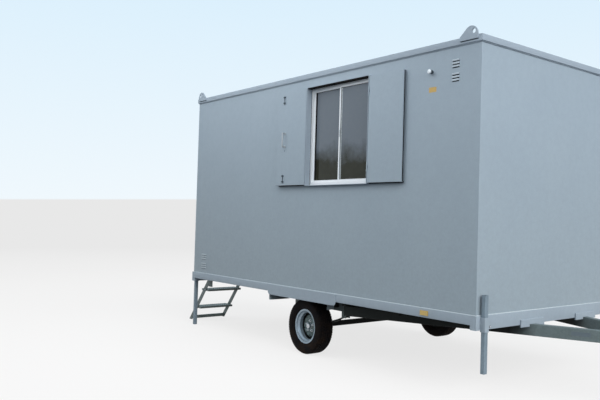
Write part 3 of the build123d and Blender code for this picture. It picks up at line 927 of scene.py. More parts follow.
@dataclass(frozen=True)
class Ply(Finish):
    """Plywood with long grain."""

    def sockets(self, g: Graph) -> dict[str, Any]:
        """Build the plywood.

        Args:
            g: the graph to build in.

        Returns:
            The shader's inputs.
        """
        grain = g.noise(1.0, 5.0, 0.65, g.stretched((2.0, 42.0, 42.0)))
        tone = g.mix(grain.between(0.3, 0.7), (0.30, 0.19, 0.10), (0.16, 0.095, 0.05))
        return {
            "Base_Color": g.mix(g.noise(2.5, 3.0) * 0.3, tone, (0.10, 0.08, 0.06)),
            "Roughness": grain * 0.2 + 0.6, "Normal": g.bump(grain, 0.3 * MM),
        }


@dataclass(frozen=True)
class Lens(Finish):
    """Moulded reflector plastic with its grid of small prisms."""

    colour: Colour = (0.42, 0.28, 0.06)

    def sockets(self, g: Graph) -> dict[str, Any]:
        """Build the lens.

        Args:
            g: the graph to build in.

        Returns:
            The shader's inputs.
        """
        prism = g.cells(320.0)
        bright = tuple(min(1.0, c * 1.3 + 0.04) for c in self.colour)
        dust = g.noise(30.0, 4.0).between(0.5, 0.8)
        tone = g.mix(prism.between(0.0, 0.6) * 0.5, self.colour, bright)
        return {
            "Base_Color": g.mix(dust * 0.15, tone, (0.35, 0.30, 0.25)),
            "Roughness": dust * 0.2 + 0.16, "Coat_Weight": 0.4, "Normal": g.bump(prism, 0.3 * MM),
        }


GREY, GREY_WORN = (0.276, 0.338, 0.396), (0.312, 0.376, 0.432)
EVEN = (300.0, 300.0, 300.0)  # lines a metre on metal without a drawn grain
PANEL = Paint("panel_paint", "panel_paint", GREY, GREY_WORN)
DOOR = Paint("door_paint", "door_paint", GREY, GREY_WORN, 0.12)
FRAME = Paint("frame_paint", "frame_paint", (0.275, 0.332, 0.392), (0.33, 0.385, 0.44), 0.12, 0.25)
# Louvre paint; on the wheel box ends it is also painted light.
HOOD = Paint("louvre_paint", "panel_paint", (0.36, 0.42, 0.47), (0.42, 0.47, 0.51))
# Pale paint that stands for light: a painted highlight on the floor rail ledges, and painted light on the
# wheel box tabs.
PAINTED_LIGHT = Paint("mastic", "panel_paint", (0.62, 0.68, 0.72), (0.55, 0.61, 0.65))
ROOF = Paint("roof_paint", "roof_paint", (0.235, 0.29, 0.33), (0.19, 0.225, 0.25), dust=0.0)
# Black chassis paint; on the rim's inner half and the lug foot welds it is painted shade.
CHASSIS = Paint("chassis_black", "underframe_black", (0.006, 0.007, 0.007), (0.011, 0.011, 0.010), 0.2,
                0.04, 0.65, 0.1)
LINING = Paint("lining", "panel_paint", (0.42, 0.41, 0.38), (0.36, 0.35, 0.32), dust=0.0)
PLATE = Paint("blank_plate", "frame_paint", (0.105, 0.135, 0.155), (0.14, 0.17, 0.19), dust=0.0)
LABEL = Paint("blank_label", "amber_lens", (0.50, 0.33, 0.10), (0.42, 0.31, 0.14), dust=0.0)
ZINC = Galvanised("galvanised", "galvanised")
LEG_ZINC = Galvanised("leg_zinc", "galvanised", (0.185, 0.240, 0.285), (0.135, 0.180, 0.215), 0.03, 0.2)
STEP_ZINC = Galvanised("step_zinc", "galvanised", (0.125, 0.155, 0.150), (0.080, 0.100, 0.098), 0.08, 0.3)
BEAM_ZINC = Galvanised("beam_zinc", "galvanised", (0.17, 0.21, 0.215), (0.12, 0.15, 0.15), 0.05, 0.2)
RIM_ZINC = Galvanised("rim_zinc", "galvanised", (0.34, 0.41, 0.47), (0.20, 0.25, 0.29), 0.04, 0.6)
DISC_ZINC = Galvanised("disc_zinc", "galvanised", (0.13, 0.17, 0.17), (0.05, 0.07, 0.07), 0.10, 0.5)
BRIGHT = Metal("bright_steel", "bright_steel", (0.50, 0.52, 0.54), EVEN, 0.32)
HANDLE = Metal("handle_steel", "bright_steel", (0.40, 0.43, 0.45), EVEN, 0.30, 0.6)
# Dark steel; on the pipe's neck it is painted shade.
DARK = Metal("dark_steel", "bright_steel", (0.040, 0.055, 0.070), EVEN, 0.5, 0.3)
CAP = Metal("pipe_cap", "bright_steel", (0.72, 0.78, 0.82), EVEN, 0.35, 0.2, 0.2)
ALUMINIUM = Metal("window_aluminium", "window_aluminium", (0.74, 0.77, 0.80), (900.0, 900.0, 12.0), 0.40,
                  0.25, 0.05)
SPRING_RAIL = Paint("spring_rail_grey", "underframe_black", (0.17, 0.195, 0.19), (0.12, 0.135, 0.13),
                    0.2, 0.2)
# Dark rubber for seals and gaskets; it also paints shade in the wall strips, the shutter edge strips, the
# louvre mouths and the window head.
SEAL = Rubber("seal", "solid_rubber", 0.15)
TYRE = Rubber("tyre_rubber", "tyre_rubber")
TREAD = Rubber("tread_rubber", "tyre_rubber", 0.45)
SOLID = Rubber("jockey_rubber", "solid_rubber")
GLASS = Glass("window_glass", "window_glass")
PLY = Ply("floor_ply", "floor_ply")
AMBER = Lens("amber_lens", "amber_lens")


# Sub-assemblies -------------------------------------------------------------------------
def limits_of(node: str) -> Any:
    """Make a field that is read from a CAD node."""
    return field(default_factory=lambda: Limits.of(node))


class Assembly:
    """A sub-assembly that models its pieces and dresses them."""

    def build(self) -> None:
        """Model and dress every piece."""
        raise NotImplementedError


@dataclass(frozen=True)
class Datum:
    """Faces and levels of the cabin that the sub-assemblies share."""

    near: Limits = limits_of("wall_near")
    far: Limits = limits_of("wall_far")
    ends: Limits = limits_of("end_rails")
    window: Limits = limits_of("window_surround")
    door: Limits = limits_of("door_frame")
    pipe: Limits = limits_of("pipe_stub")

    @cached_property
    def body(self) -> Limits:
        """Space inside the walls' outer faces."""
        return Limits(self.near.low, self.far.high)

    @cached_property
    def wall_t(self) -> float:
        """Thickness of the walls."""
        return self.near.size.y

    @cached_property
    def pipe_r(self) -> float:
        """Radius of the pipe where it passes the wall."""
        inner = [p for p in corners("pipe_stub") if abs(p.y - self.pipe.high.y) < MM]
        return max(off_axle(p, self.pipe.mid) for p in inner)


D = Datum()


@dataclass
class Shell(Assembly):
    """Walls of folded steel panels, the lapped roof sheet and the lining boards."""

    fold: float = 3 * MM
    play: float = 0.3 * MM
    seam_pitch: float = 1.22
    seam_w: float = 28 * MM
    seam_h: float = 2.2 * MM
    lining_t: float = 4 * MM
    strip_w: float = 36 * MM
    strip_t: float = 2.5 * MM

    def build(self) -> None:
        """Build the four walls, the roof sheet and the lining boards."""
        past = D.wall_t
        holes = self._holes(D.near.low.y - past, D.near.high.y + past, self.play)
        for side, limits, cutters in ((Side.NEAR, D.near, holes), (Side.FAR, D.far, [])):
            name, face = side.name.lower(), limits.face(side.value)
            wall = Piece.slab(f"{name}_wall_panel", limits.low, limits.high)
            wall.chamfer(
                lambda a, b: abs(a.y - face) + abs(b.y - face) < MM and abs(a.x - b.x) < MM, self.fold, 5
            )
            wall.minus(*cutters).finish(PANEL, f"wall_{name}")
        front = Limits.of("wall_front")
        panel = Piece.slab("front_wall_panel", front.low, front.high)
        panel.press(facing(REARWARD), self.strip_w, -self.strip_t).smooth().finish(PANEL, "wall_front")
        head, edge = Limits.of("wall_rear_head"), Vector((past, 0, past))
        low = Vector((head.low.x, D.near.high.y, D.door.low.z))
        door_high = D.door.high + Vector((past, 0, 0))
        doorway = Piece.slab("doorway", D.door.low - edge, door_high)
        panel = Piece.slab("rear_wall_panel", low, head.high).minus(doorway)
        panel.finish(PANEL, "wall_rear_near", "wall_rear_far", "wall_rear_head")
        self._roof()
        for side in Side:
            self._lining(side)

    @staticmethod
    def _holes(y0: float, y1: float, play: float) -> list[Piece]:
        """Model the cutters for the window and the pipe, from one depth to another.

        Args:
            y0: where the cutters start.
            y1: where they end.
            play: room round what passes through.

        Returns:
            One cutter for each hole.
        """
        low, high, x, z = D.window.low, D.window.high, D.pipe.mid.x, D.pipe.mid.z
        return [
            Piece.slab("hole", (low.x - play, y0, low.z - play), (high.x + play, y1, high.z + play)),
            Piece.bar("bore", (x, y0, z), (x, y1, z), D.pipe_r + play, 48),
        ]

    def _roof(self) -> None:
        """Model the roof sheet with a raised lap at each seam."""
        sheet = Limits.of("roof_panel")
        count = round(sheet.size.x / self.seam_pitch)
        pieces = [Piece.slab("sheet", sheet.low, sheet.high)]
        for k in range(1, count):
            x = sheet.low.x + k * sheet.size.x / count
            low = (x - self.seam_w / 2, sheet.low.y + self.fold, sheet.high.z - self.seam_h)
            high = (x + self.seam_w / 2, sheet.high.y - self.fold, sheet.high.z + self.seam_h)
            lap = Piece.slab("lap", low, high)
            lap.chamfer(lambda a, b: min(a.z, b.z) > sheet.high.z, self.seam_h * 0.8)
            pieces.append(lap)
        Piece.group("roof_sheet", pieces).smooth().finish(ROOF, "roof_panel")

    def _lining(self, side: Side) -> None:
        """Model the inside board of a long wall, with strips over its joints.

        Args:
            side: the wall that it lines.
        """
        out, near = side.value, side is Side.NEAR
        inner = D.near.high.y if near else D.far.low.y
        face = inner - out * self.lining_t
        x0, x1 = D.body.low.x + D.wall_t, D.body.high.x - D.wall_t
        foot, ceiling = Limits.of("floor_deck").high.z, Limits.of("roof_panel").low.z
        board = Piece.slab("board", (x0, inner, foot), (x1, face, ceiling))
        if near:
            board.minus(*self._holes(inner - self.strip_w, inner + self.strip_w, self.strip_t))
        strips = []
        for x in (x0 + share * (x1 - x0) for share in (0.25, 0.5, 0.75)):
            if not near or not D.window.low.x - self.strip_w < x < D.window.high.x + self.strip_w:
                low = (x - self.strip_w / 2, face, foot)
                high = (x + self.strip_w / 2, face - out * self.strip_t, ceiling)
                strips.append(Piece.slab("strip", low, high).ease(self.strip_t * 0.4))
        Piece.group(f"{side.name.lower()}_lining", [board.smooth(), *strips]).finish(LINING)


@dataclass
class Rails(Assembly):
    """Pressed steel rails round the floor and the roof, and the lifting lugs welded to them."""

    edge: float = 3.5 * MM
    bead: float = 2.4 * MM
    # Width of the pale ledge line, a painted highlight, and of the beads under the roof rails.
    mastic_w: float = 7 * MM
    lug_edge: float = 1.4 * MM
    lug_bead: float = 4.5 * MM

    def build(self) -> None:
        """Build the rails, the lugs and their welds."""
        beads = []
        for level, sides, ends in (("floor", "side_rails", "end_rails"),
                                   ("roof", "roof_side_rails", "roof_end_rails")):
            for name, way in (("near", -1), ("far", 1)):
                self._rail(f"{name}_{level}_rail", sides, 1, way)
            for end in End:
                self._rail(f"{end.name.lower()}_{level}_rail", ends, 0, end.value)
            rails = Limits.of(sides)
            for x, y in product((rails.low.x, rails.high.x), (rails.low.y, rails.high.y)):
                start = Vector((x, y - math.copysign(self.bead * 0.75, y), rails.low.z + self.edge))
                beads.append(weld_bead(start, start + UPWARD * (rails.size.z - 2 * self.edge), self.bead))
        Piece.group("rail_corner_welds", beads).finish(FRAME)
        dress("lifting_lug_plates", "lifting_lugs", FRAME, self.lug_edge, 3)
        self._lug_welds()
        self._mastic()

    def _mastic(self) -> None:
        """Run a pale line on the ledge of the floor rails as a painted highlight, and a painted bead under
        the roof rails.
        """
        w, foot, top, body = self.mastic_w, D.ends.high.z, Limits.of("roof_side_rails").low.z, D.body
        x0, x1, ledge, lines, beads = body.low.x, body.high.x, Limits.of("side_rails").high.z - MM, [], []
        for way in (-1, 1):
            y = body.face(way)
            lines.append(Piece.slab("line", (x0, y, ledge), (x1, y + way * w, ledge + w / 2)))
            beads.append(Piece.slab("bead", (x0, y, top - w), (x1, y + way * w, top + MM)))
        y0, y1 = body.low.y, body.high.y
        lines.append(Piece.slab("line", (x1, y0, foot - MM), (x1 + w, y1, foot + w / 2)))
        for way in (-1, 1):
            x = body.face(way, 0)
            beads.append(Piece.slab("bead", (x, y0, top - w), (x + way * w, y1, top + MM)))
        # Painted highlight: the pale lines on the rail ledges.
        Piece.group("rail_ledge_highlight", [line.ease(MM) for line in lines]).finish(PAINTED_LIGHT)
        Piece.group("roof_rail_beads", [bead.ease(MM) for bead in beads]).finish(FRAME)

    def _rail(self, name: str, node: str, axis: int, way: int) -> None:
        """Model one rail of a pair, with its outer edges folded.

        Args:
            name: the piece's name.
            node: CAD node that holds both rails.
            axis: axis that the rail faces along, 0 at an end and 1 on a side.
            way: -1 for the rail at the low side of that axis, 1 for the other.
        """
        both = Limits.of(node)
        low, high = both.low.copy(), both.high.copy()
        if way > 0:
            low[axis] = D.body.high[axis] - D.wall_t
        else:
            high[axis] = D.body.low[axis] + D.wall_t
        outer = both.face(way, axis)
        rail = Piece.slab(name, low, high)
        rail.chamfer(lambda a, b: abs(a[axis] - outer) + abs(b[axis] - outer) < MM
                     and (not axis or abs(a.z - b.z) < MM), self.edge, 4)
        rail.finish(FRAME, node)

    def _lug_welds(self) -> None:
        """Lay the weld along the foot and the sides of each lug, the foot weld in black as painted shadow
        under the lug.
        """
        beads, seals, top, r = [], [], Limits.of("roof_end_rails").high.z, self.lug_bead
        for lug in Limits.each("lifting_lugs"):
            y = math.copysign(D.ends.low.y, lug.mid.y)
            seals.append(weld_bead(*(Vector((x, y, lug.low.z)) for x in (lug.low.x + r, lug.high.x - r)), r))
            for x in (lug.low.x, lug.high.x):
                beads.append(weld_bead(Vector((x, y, lug.low.z)), Vector((x, y, top - r)), r * 0.8))
        Piece.group("lifting_lug_welds", beads).finish(FRAME)
        # Painted shadow: the foot welds are black to stand for the shade under each lug's foot.
        Piece.group("lifting_lug_foot_shadow_welds", seals).finish(CHASSIS)


@dataclass
class Window(Assembly):
    """Steel surround with a two-light sliding window in drawn aluminium."""

    edge: float = 1.0 * MM
    bar_w: float = 24 * MM
    sill_h: float = 33 * MM
    rebate: float = 5 * MM
    rebate_in: float = 2.2 * MM
    gasket_t: float = 6 * MM
    lock_w: float = 17 * MM
    brush_w: float = 24 * MM
    latch_l: float = 70 * MM
    latch_w: float = 14 * MM
    # Height of the black head seal, which also paints the shade under the head.
    seal_t: float = 9 * MM
    seal_in: float = 3 * MM
    joint_w: float = 2.5 * MM

    def build(self) -> None:
        """Build the surround, frame, sashes, panes and their seals."""
        dress("window_reveal_plates", "window_surround", FRAME, self.edge, 3)
        self._frame()
        for node in ("sash_front", "sash_rear"):
            self._sash(node)
        for k, pane in enumerate(Limits.each("window_panes")):
            glass = Piece.slab(f"window_pane_{k + 1}", pane.low, pane.high).ease(0.6 * MM)
            glass.finish(GLASS, "window_panes")
        self._latch()

    def _frame(self) -> None:
        """Model the outer frame with its stepped face, deep sill, mastic joint, and a black head seal that
        also paints the shade under the head.
        """
        space = Limits.of("window_frame")
        low, high, step = space.low, space.high, self.rebate_in
        outer = Piece.hoop("outer", low, high, self.bar_w)
        outer.press(facing(NEARWARD), self.rebate, -step).ease(self.edge)
        sill = Piece.slab(
            "sill", (low.x + self.bar_w - MM, low.y + step / 2, low.z + self.bar_w / 2),
            (high.x - self.bar_w + MM, high.y - MM, low.z + self.sill_h),
        )
        Piece.group("window_outer_frame", [outer, sill.ease(self.edge)]).finish(ALUMINIUM, "window_frame")
        grow = Vector((0.2 * MM, 2 * MM, 0.2 * MM))
        joint = Piece.hoop("window_mastic", low - grow, Vector((high.x, low.y, high.z)) + grow, self.joint_w)
        joint.ease(self.edge).finish(SEAL)
        # The black head seal is partly a real seal and partly painted shade under the head.
        top = D.window.high.z - 6 * MM
        seal_low = (low.x + MM, D.window.low.y + self.seal_in, top - self.seal_t)
        strip("window_head_seal", seal_low, (high.x - MM, low.y - MM, top), 0.5 * MM, SEAL)

    def _sash(self, node: str) -> None:
        """Model a sliding sash with a sloped glazing bead and its gasket.

        Args:
            node: the sash's CAD node.
        """
        space = Limits.of(node)
        pane = min(Limits.each("window_panes"), key=lambda p: abs(p.mid.x - space.mid.x))
        sash = Piece.hoop(node + "_stiles", space.low, space.high, pane.low.x - space.low.x)
        sash.press(facing(NEARWARD), self.rebate, -self.rebate_in)
        sash.ease(self.edge).finish(ALUMINIUM, node)
        grip = Vector((self.gasket_t, 0, self.gasket_t)) * 0.4
        low, high = pane.low - grip, pane.high + grip
        low.y, high.y = space.low.y + self.rebate_in, space.high.y - self.rebate_in
        Piece.hoop(node + "_gasket", low, high, self.gasket_t).ease(self.edge).finish(SEAL)
        start, y = pane.low.x, space.low.y + self.seal_in
        if node == "sash_rear":
            name, x0, x1, look = "sash_brush_seal", start - MM, start + self.brush_w, SEAL
        else:
            start += self.gasket_t
            name, x0, x1, look = "sash_interlock", start, start + self.lock_w, ZINC
        strip(name, (x0, y, pane.low.z), (x1, pane.low.y, pane.high.z), self.edge, look)

    def _latch(self) -> None:
        """Model the cam latch on the meeting stile."""
        sash = Limits.of("sash_front")
        x, y, z, w, h = sash.low.x + self.latch_w * 0.95, sash.low.y, sash.mid.z, self.latch_w, self.latch_l
        plate = Piece.slab("plate", (x - w / 2, y - 2 * MM, z - h / 2), (x + w / 2, y, z + h / 2))
        lever = Piece.slab(
            "lever", (x - w * 0.3, y - 2.6 * MM, z - h * 0.2), (x + w * 0.3, y - 2 * MM, z + h * 0.38)
        )
        Piece.group("window_latch", [plate.ease(0.8 * MM), lever.ease(0.25 * MM)]).finish(BRIGHT)


@dataclass
class Shutters(Assembly):
    """Steel shutter leaves, folded open, with hinges, pull handle and slide bolts."""

    fold: float = 2.5 * MM
    plate_t: float = 3 * MM
    rod_r: float = 3.4 * MM
    staple: Pair = (34 * MM, 15 * MM)
    staple_in: float = 13 * MM
    # How far the dark edge strips stand past the leaf, as painted shade and shadow.
    seal_t: float = 1 * MM
    trim: float = 10 * MM
    # How far the dark wall strips reach below and above each leaf's foot, as painted shadow.
    shade_strip: Pair = (7 * MM, 8 * MM)
    foot_short: float = 30 * MM
    plug_r: float = 5 * MM
    plug_below: float = 38 * MM

    def build(self) -> None:
        """Build both leaves and what they carry."""
        for node in ("shutter_front", "shutter_rear"):
            leaf, top = Piece.from_node(node + "_leaf", node), Limits.of(node).high.z
            with leaf.editing():
                leaf.pick("EDGE", lambda a, b: min(a.z, b.z) > top - self.plate_t)
                bpy.ops.transform.translate(value=(0, 0, -self.trim))
            leaf.ease(self.fold, 3, RIMS).finish(DOOR, node, body=node)
            self._edge_shade_strips(node, top - self.trim)
        self._wall_shade_strips()
        dress("shutter_hinge_pins", "shutter_hinges", DOOR, 0.8 * MM)
        *self.bolts, self.grip = sorted(Limits.each("shutter_fittings"), key=lambda p: p.size.z)
        self._handle()
        self._bolts()

    def _wall_shade_strips(self) -> None:
        """Put a dark strip on the wall behind the foot of each leaf, as painted shadow under it."""
        shade_strips = []
        for node in ("shutter_rear", "shutter_front"):
            leaf, wall, (below, above) = Limits.of(node), D.body.low.y, self.shade_strip
            low = (leaf.low.x + self.fold, leaf.high.y + 0.4 * (wall - leaf.high.y), leaf.low.z - below)
            high = (leaf.high.x - self.fold, wall, leaf.low.z + above)
            shade_strips.append(Piece.slab("shade_strip", low, high).ease(MM))
        # Painted shadow: dark strips on the wall under the leaves.
        Piece.group("shutter_wall_shade_strips", shade_strips).finish(SEAL)

    def _edge_shade_strips(self, node: str, crest: float) -> None:
        """Lay a dark strip along the outer and the lower edge of a leaf, as painted shade on its side face
        and painted shadow under its foot.

        Args:
            node: the leaf's CAD node.
            crest: height of its upper edge.
        """
        leaf = Limits.of(node)
        back, front, skin = leaf.high.y - self.fold, leaf.low.y + leaf.size.y * 0.6, leaf.low.y + self.fold
        out, grow = sign(leaf.mid.x - D.window.mid.x), self.seal_t
        x, end = leaf.face(out, 0), leaf.face(-out, 0) + out * self.foot_short
        foot, top = leaf.low.z, crest - self.fold
        pieces = [
            Piece.slab("side", (x - out * MM, front, foot + self.fold), (x + out * grow, back, top)),
            Piece.slab("foot", (x - out * self.fold, skin, foot - grow), (end, back, foot + MM)),
        ]
        # Painted shade and shadow: dark strips on the leaf's outer side face and under its foot.
        Piece.group(node + "_edge_seal", [piece.ease(0.4 * MM) for piece in pieces]).finish(SEAL, body=node)

    def _handle(self) -> None:
        """Model the pull handle with a round foot at each end, and the stop plug below it."""
        space = self.grip
        y, r = space.high.y, space.size.x
        grip = Piece.from_node("grip", "shutter_fittings")
        with grip.editing():
            grip.pick(
                "FACE", lambda c, n: any(not space.low[k] - MM < c[k] < space.high[k] + MM for k in range(3))
            )
            bpy.ops.mesh.delete(type="FACE")
        parts = [grip.smooth()]
        for z in (space.low.z + r / 2, space.high.z - r / 2):
            at = Vector((space.mid.x, y, z))
            parts.append(Piece.turned("foot", at, [(y, 0), (y, r), (y - 2 * MM, r), (y - 4 * MM, 0)], 28))
        Piece.group("shutter_handle", parts).finish(HANDLE, "shutter_fittings", body="shutter_rear")
        at = Vector((space.mid.x, y, space.low.z - self.plug_below))
        plug = bolt_head(at, NEARWARD, self.plug_r, 2 * MM).named("shutter_stop_plug")
        plug.finish(DARK, body="shutter_rear")

    def _bolts(self) -> None:
        """Model each slide bolt: a painted plate, and a dark rod through two staples."""
        plates, darks = [], []
        for space in self.bolts:
            x, face = space.mid.x, space.high.y - self.plate_t
            low = Vector((space.low.x, face, space.low.z))
            plates.append(Piece.slab("plate", low, space.high).ease(0.8 * MM))
            y, z0, z1 = face - self.rod_r, space.low.z + MM, space.high.z - MM
            darks.append(rod((x, y, z0), (x, y, z1), self.rod_r, 20, 0.7 * MM))
            half = half_of(self.staple)
            for z in (z0 + self.staple_in, z1 - self.staple_in):
                at = Vector((x, face, z))
                top = Vector((0, face - space.low.y, 0))
                darks.append(Piece.slab("staple", at - half - top, at + half).ease(1.5 * MM))
        Piece.group("shutter_bolt_plates", plates).finish(DOOR, "shutter_fittings", body="shutter_rear")
        Piece.group("shutter_slide_bolts", darks).finish(DARK, body="shutter_rear")


@dataclass
class WallFittings(Assembly):
    """Louvre vents, the capped pipe stub, reflectors and the blank label on the long walls."""

    slot_t: float = 0.6 * MM
    sheet: float = 1.2 * MM
    label: Pair = (0.090, 0.045)
    label_below_pipe: float = 0.154
    label_ahead_of_pipe: float = 0.008
    label_t: float = 0.7 * MM
    rim: float = 3 * MM
    cap_l: float = 14 * MM

    def build(self) -> None:
        """Build every small fitting."""
        self._louvres()
        self._pipe()
        for lens in Limits.each("side_reflectors"):
            side = Side.NEAR if lens.mid.y < 0 else Side.FAR
            body = Piece.slab(f"{side.name.lower()}_reflector", lens.low, lens.high)
            outward = facing(Vector((0, side.value, 0)))
            body.press(outward, self.rim, -self.rim / 2).press(outward, self.rim, self.rim / 3)
            body.ease(0.9 * MM, 3).finish(AMBER, "side_reflectors")
        x, z = D.pipe.mid.x + self.label_ahead_of_pipe, D.pipe.mid.z - self.label_below_pipe
        half, y = half_of(self.label), D.body.low.y
        label = Piece.slab("blank_label", Vector((x, y - self.label_t, z)) - half, Vector((x, y, z)) + half)
        label.chamfer(lambda a, b: abs(a.x - b.x) + abs(a.z - b.z) < MM / 9, 5 * MM, 4)
        label.press(facing(NEARWARD), 2.5 * MM, -0.15 * MM).smooth().finish(LABEL)

    def _louvres(self) -> None:
        """Model each pressed hood, with a thin dark strip on the wall below it as painted shade in its mouth.
        """
        hoods, shade_slots, face = [], [], D.body.low.y
        for space in Limits.each("louvre_vents"):
            hood = Piece.slab("hood", space.low, space.high)
            hood.chamfer(
                lambda a, b: min(a.z, b.z) > space.mid.z and max(a.y, b.y) < space.mid.y,
                min(space.size.y, space.size.z) * 0.92, 5,
            )
            hoods.append(hood.press(facing(-UPWARD), self.sheet, -space.size.z * 0.5).smooth(30))
            # Painted shade: a dark strip on the wall below the hood.
            drop = space.size.z * (0.5 if space.mid.z > D.window.low.z else 0.25)
            low = (space.low.x + self.sheet, face - self.slot_t, space.low.z - drop)
            high = (space.high.x - self.sheet, face + self.slot_t, space.low.z)
            shade_slots.append(Piece.slab("slot", low, high).ease(0.3 * MM))
        Piece.group("louvre_hoods", hoods).finish(HOOD, "louvre_vents")
        Piece.group("louvre_mouth_shade", shade_slots).finish(SEAL)

    def _pipe(self) -> None:
        """Model the stub with its collar, a dark neck as painted shade beside the cap, and the bright cap
        that shuts its outer end.
        """
        low, high, at, r = D.pipe.low.y, D.pipe.high.y, D.pipe.mid, D.pipe_r
        cap_r, face = D.pipe.size.x / 2, D.body.low.y
        cap_l, lip, skin, start = self.cap_l, 2 * MM, 3 * MM, low + self.cap_l - MM
        cap = [(0, 0), (0, r - lip), (lip, r + MM), (5 * MM, r + lip), (cap_l, r + lip), (cap_l, 0)]
        neck = [(start, r - skin), (start, r), (high, r), (high, r - skin), (start, r - skin)]
        collar = [(face - 4 * MM, r), (face - skin, cap_r - MM), (face, cap_r), (face, r), (face - 4 * MM, r)]
        for name, outline, look, nodes in (
            ("pipe_cap", [(low + y, radius) for y, radius in cap], CAP, ()),
            # The neck's dark steel is painted shade on the pipe's side.
            ("pipe_neck", neck, DARK, ("pipe_stub",)),
            ("pipe_collar", collar, PANEL, ()),
        ):
            Piece.turned(name, at, outline, 48).finish(look, *nodes)


@dataclass
class CornerLegs(Assembly):
    """Square telescopic legs in clamp sleeves at the four corners."""

    edge: float = 3 * MM
    tube_t: float = 3 * MM
    hollow: float = 80 * MM
    bead: float = 2.6 * MM
    screw_in: float = 14 * MM
    screw_up: float = 45 * MM
    screw_r: float = 6 * MM
    washer_r: float = 10 * MM
    washer_t: float = 2.5 * MM

    def build(self) -> None:
        """Build the legs, the sleeves and the welds that hold them."""
        for node in (f"leg_{side.name.lower()}_{end.name.lower()}" for side in Side for end in End):
            space = Limits.of(node)
            leg = Piece.slab(node + "_tube", space.low, space.high)
            leg.chamfer(lambda a, b: abs(a.z - b.z) > self.hollow, self.edge, 4)
            for way in (UPWARD, -UPWARD):
                leg.press(facing(way), self.tube_t, -self.hollow)
            leg.smooth().finish(LEG_ZINC, node, body=node)
        dress("leg_clamp_sleeves", "leg_sleeves", FRAME, 0.9 * MM)
        beads = []
        for sleeve in Limits.each("leg_sleeves"):
            out, side = sign(sleeve.mid.x), sign(sleeve.mid.y)
            x, corner = D.ends.face(out, 0) + out * self.bead * 0.2, sleeve.face(side)
            for y in (corner + side * self.bead * 0.4, corner - side * (sleeve.size.x + self.bead * 0.4)):
                start = Vector((x, y, D.ends.low.z + 2 * self.bead))
                beads.append(weld_bead(start, Vector((x, y, sleeve.high.z - 2 * self.bead)), self.bead))
        Piece.group("sleeve_welds", beads).finish(FRAME)
        self._screws()

    def _screws(self) -> None:
        """Model the pinch screw on the outer face of each sleeve, on a dark washer."""
        washers, screws = [], []
        for sleeve in Limits.each("leg_sleeves"):
            out, side = sign(sleeve.mid.x), sign(sleeve.mid.y)
            y, way = sleeve.face(-side) + side * self.screw_in, Vector((out, 0, 0))
            at = Vector((sleeve.face(out, 0), y, sleeve.low.z + self.screw_up))
            washer = Piece.bar("washer", at - way * MM, at + way * self.washer_t, self.washer_r, 32)
            washers.append(washer.ease(0.8 * MM))
            screws.append(bolt_head(at + way * 2 * MM, way, self.screw_r, 5 * MM))
        Piece.group("sleeve_washers", washers).finish(DARK)
        Piece.group("sleeve_screws", screws).finish(BRIGHT)


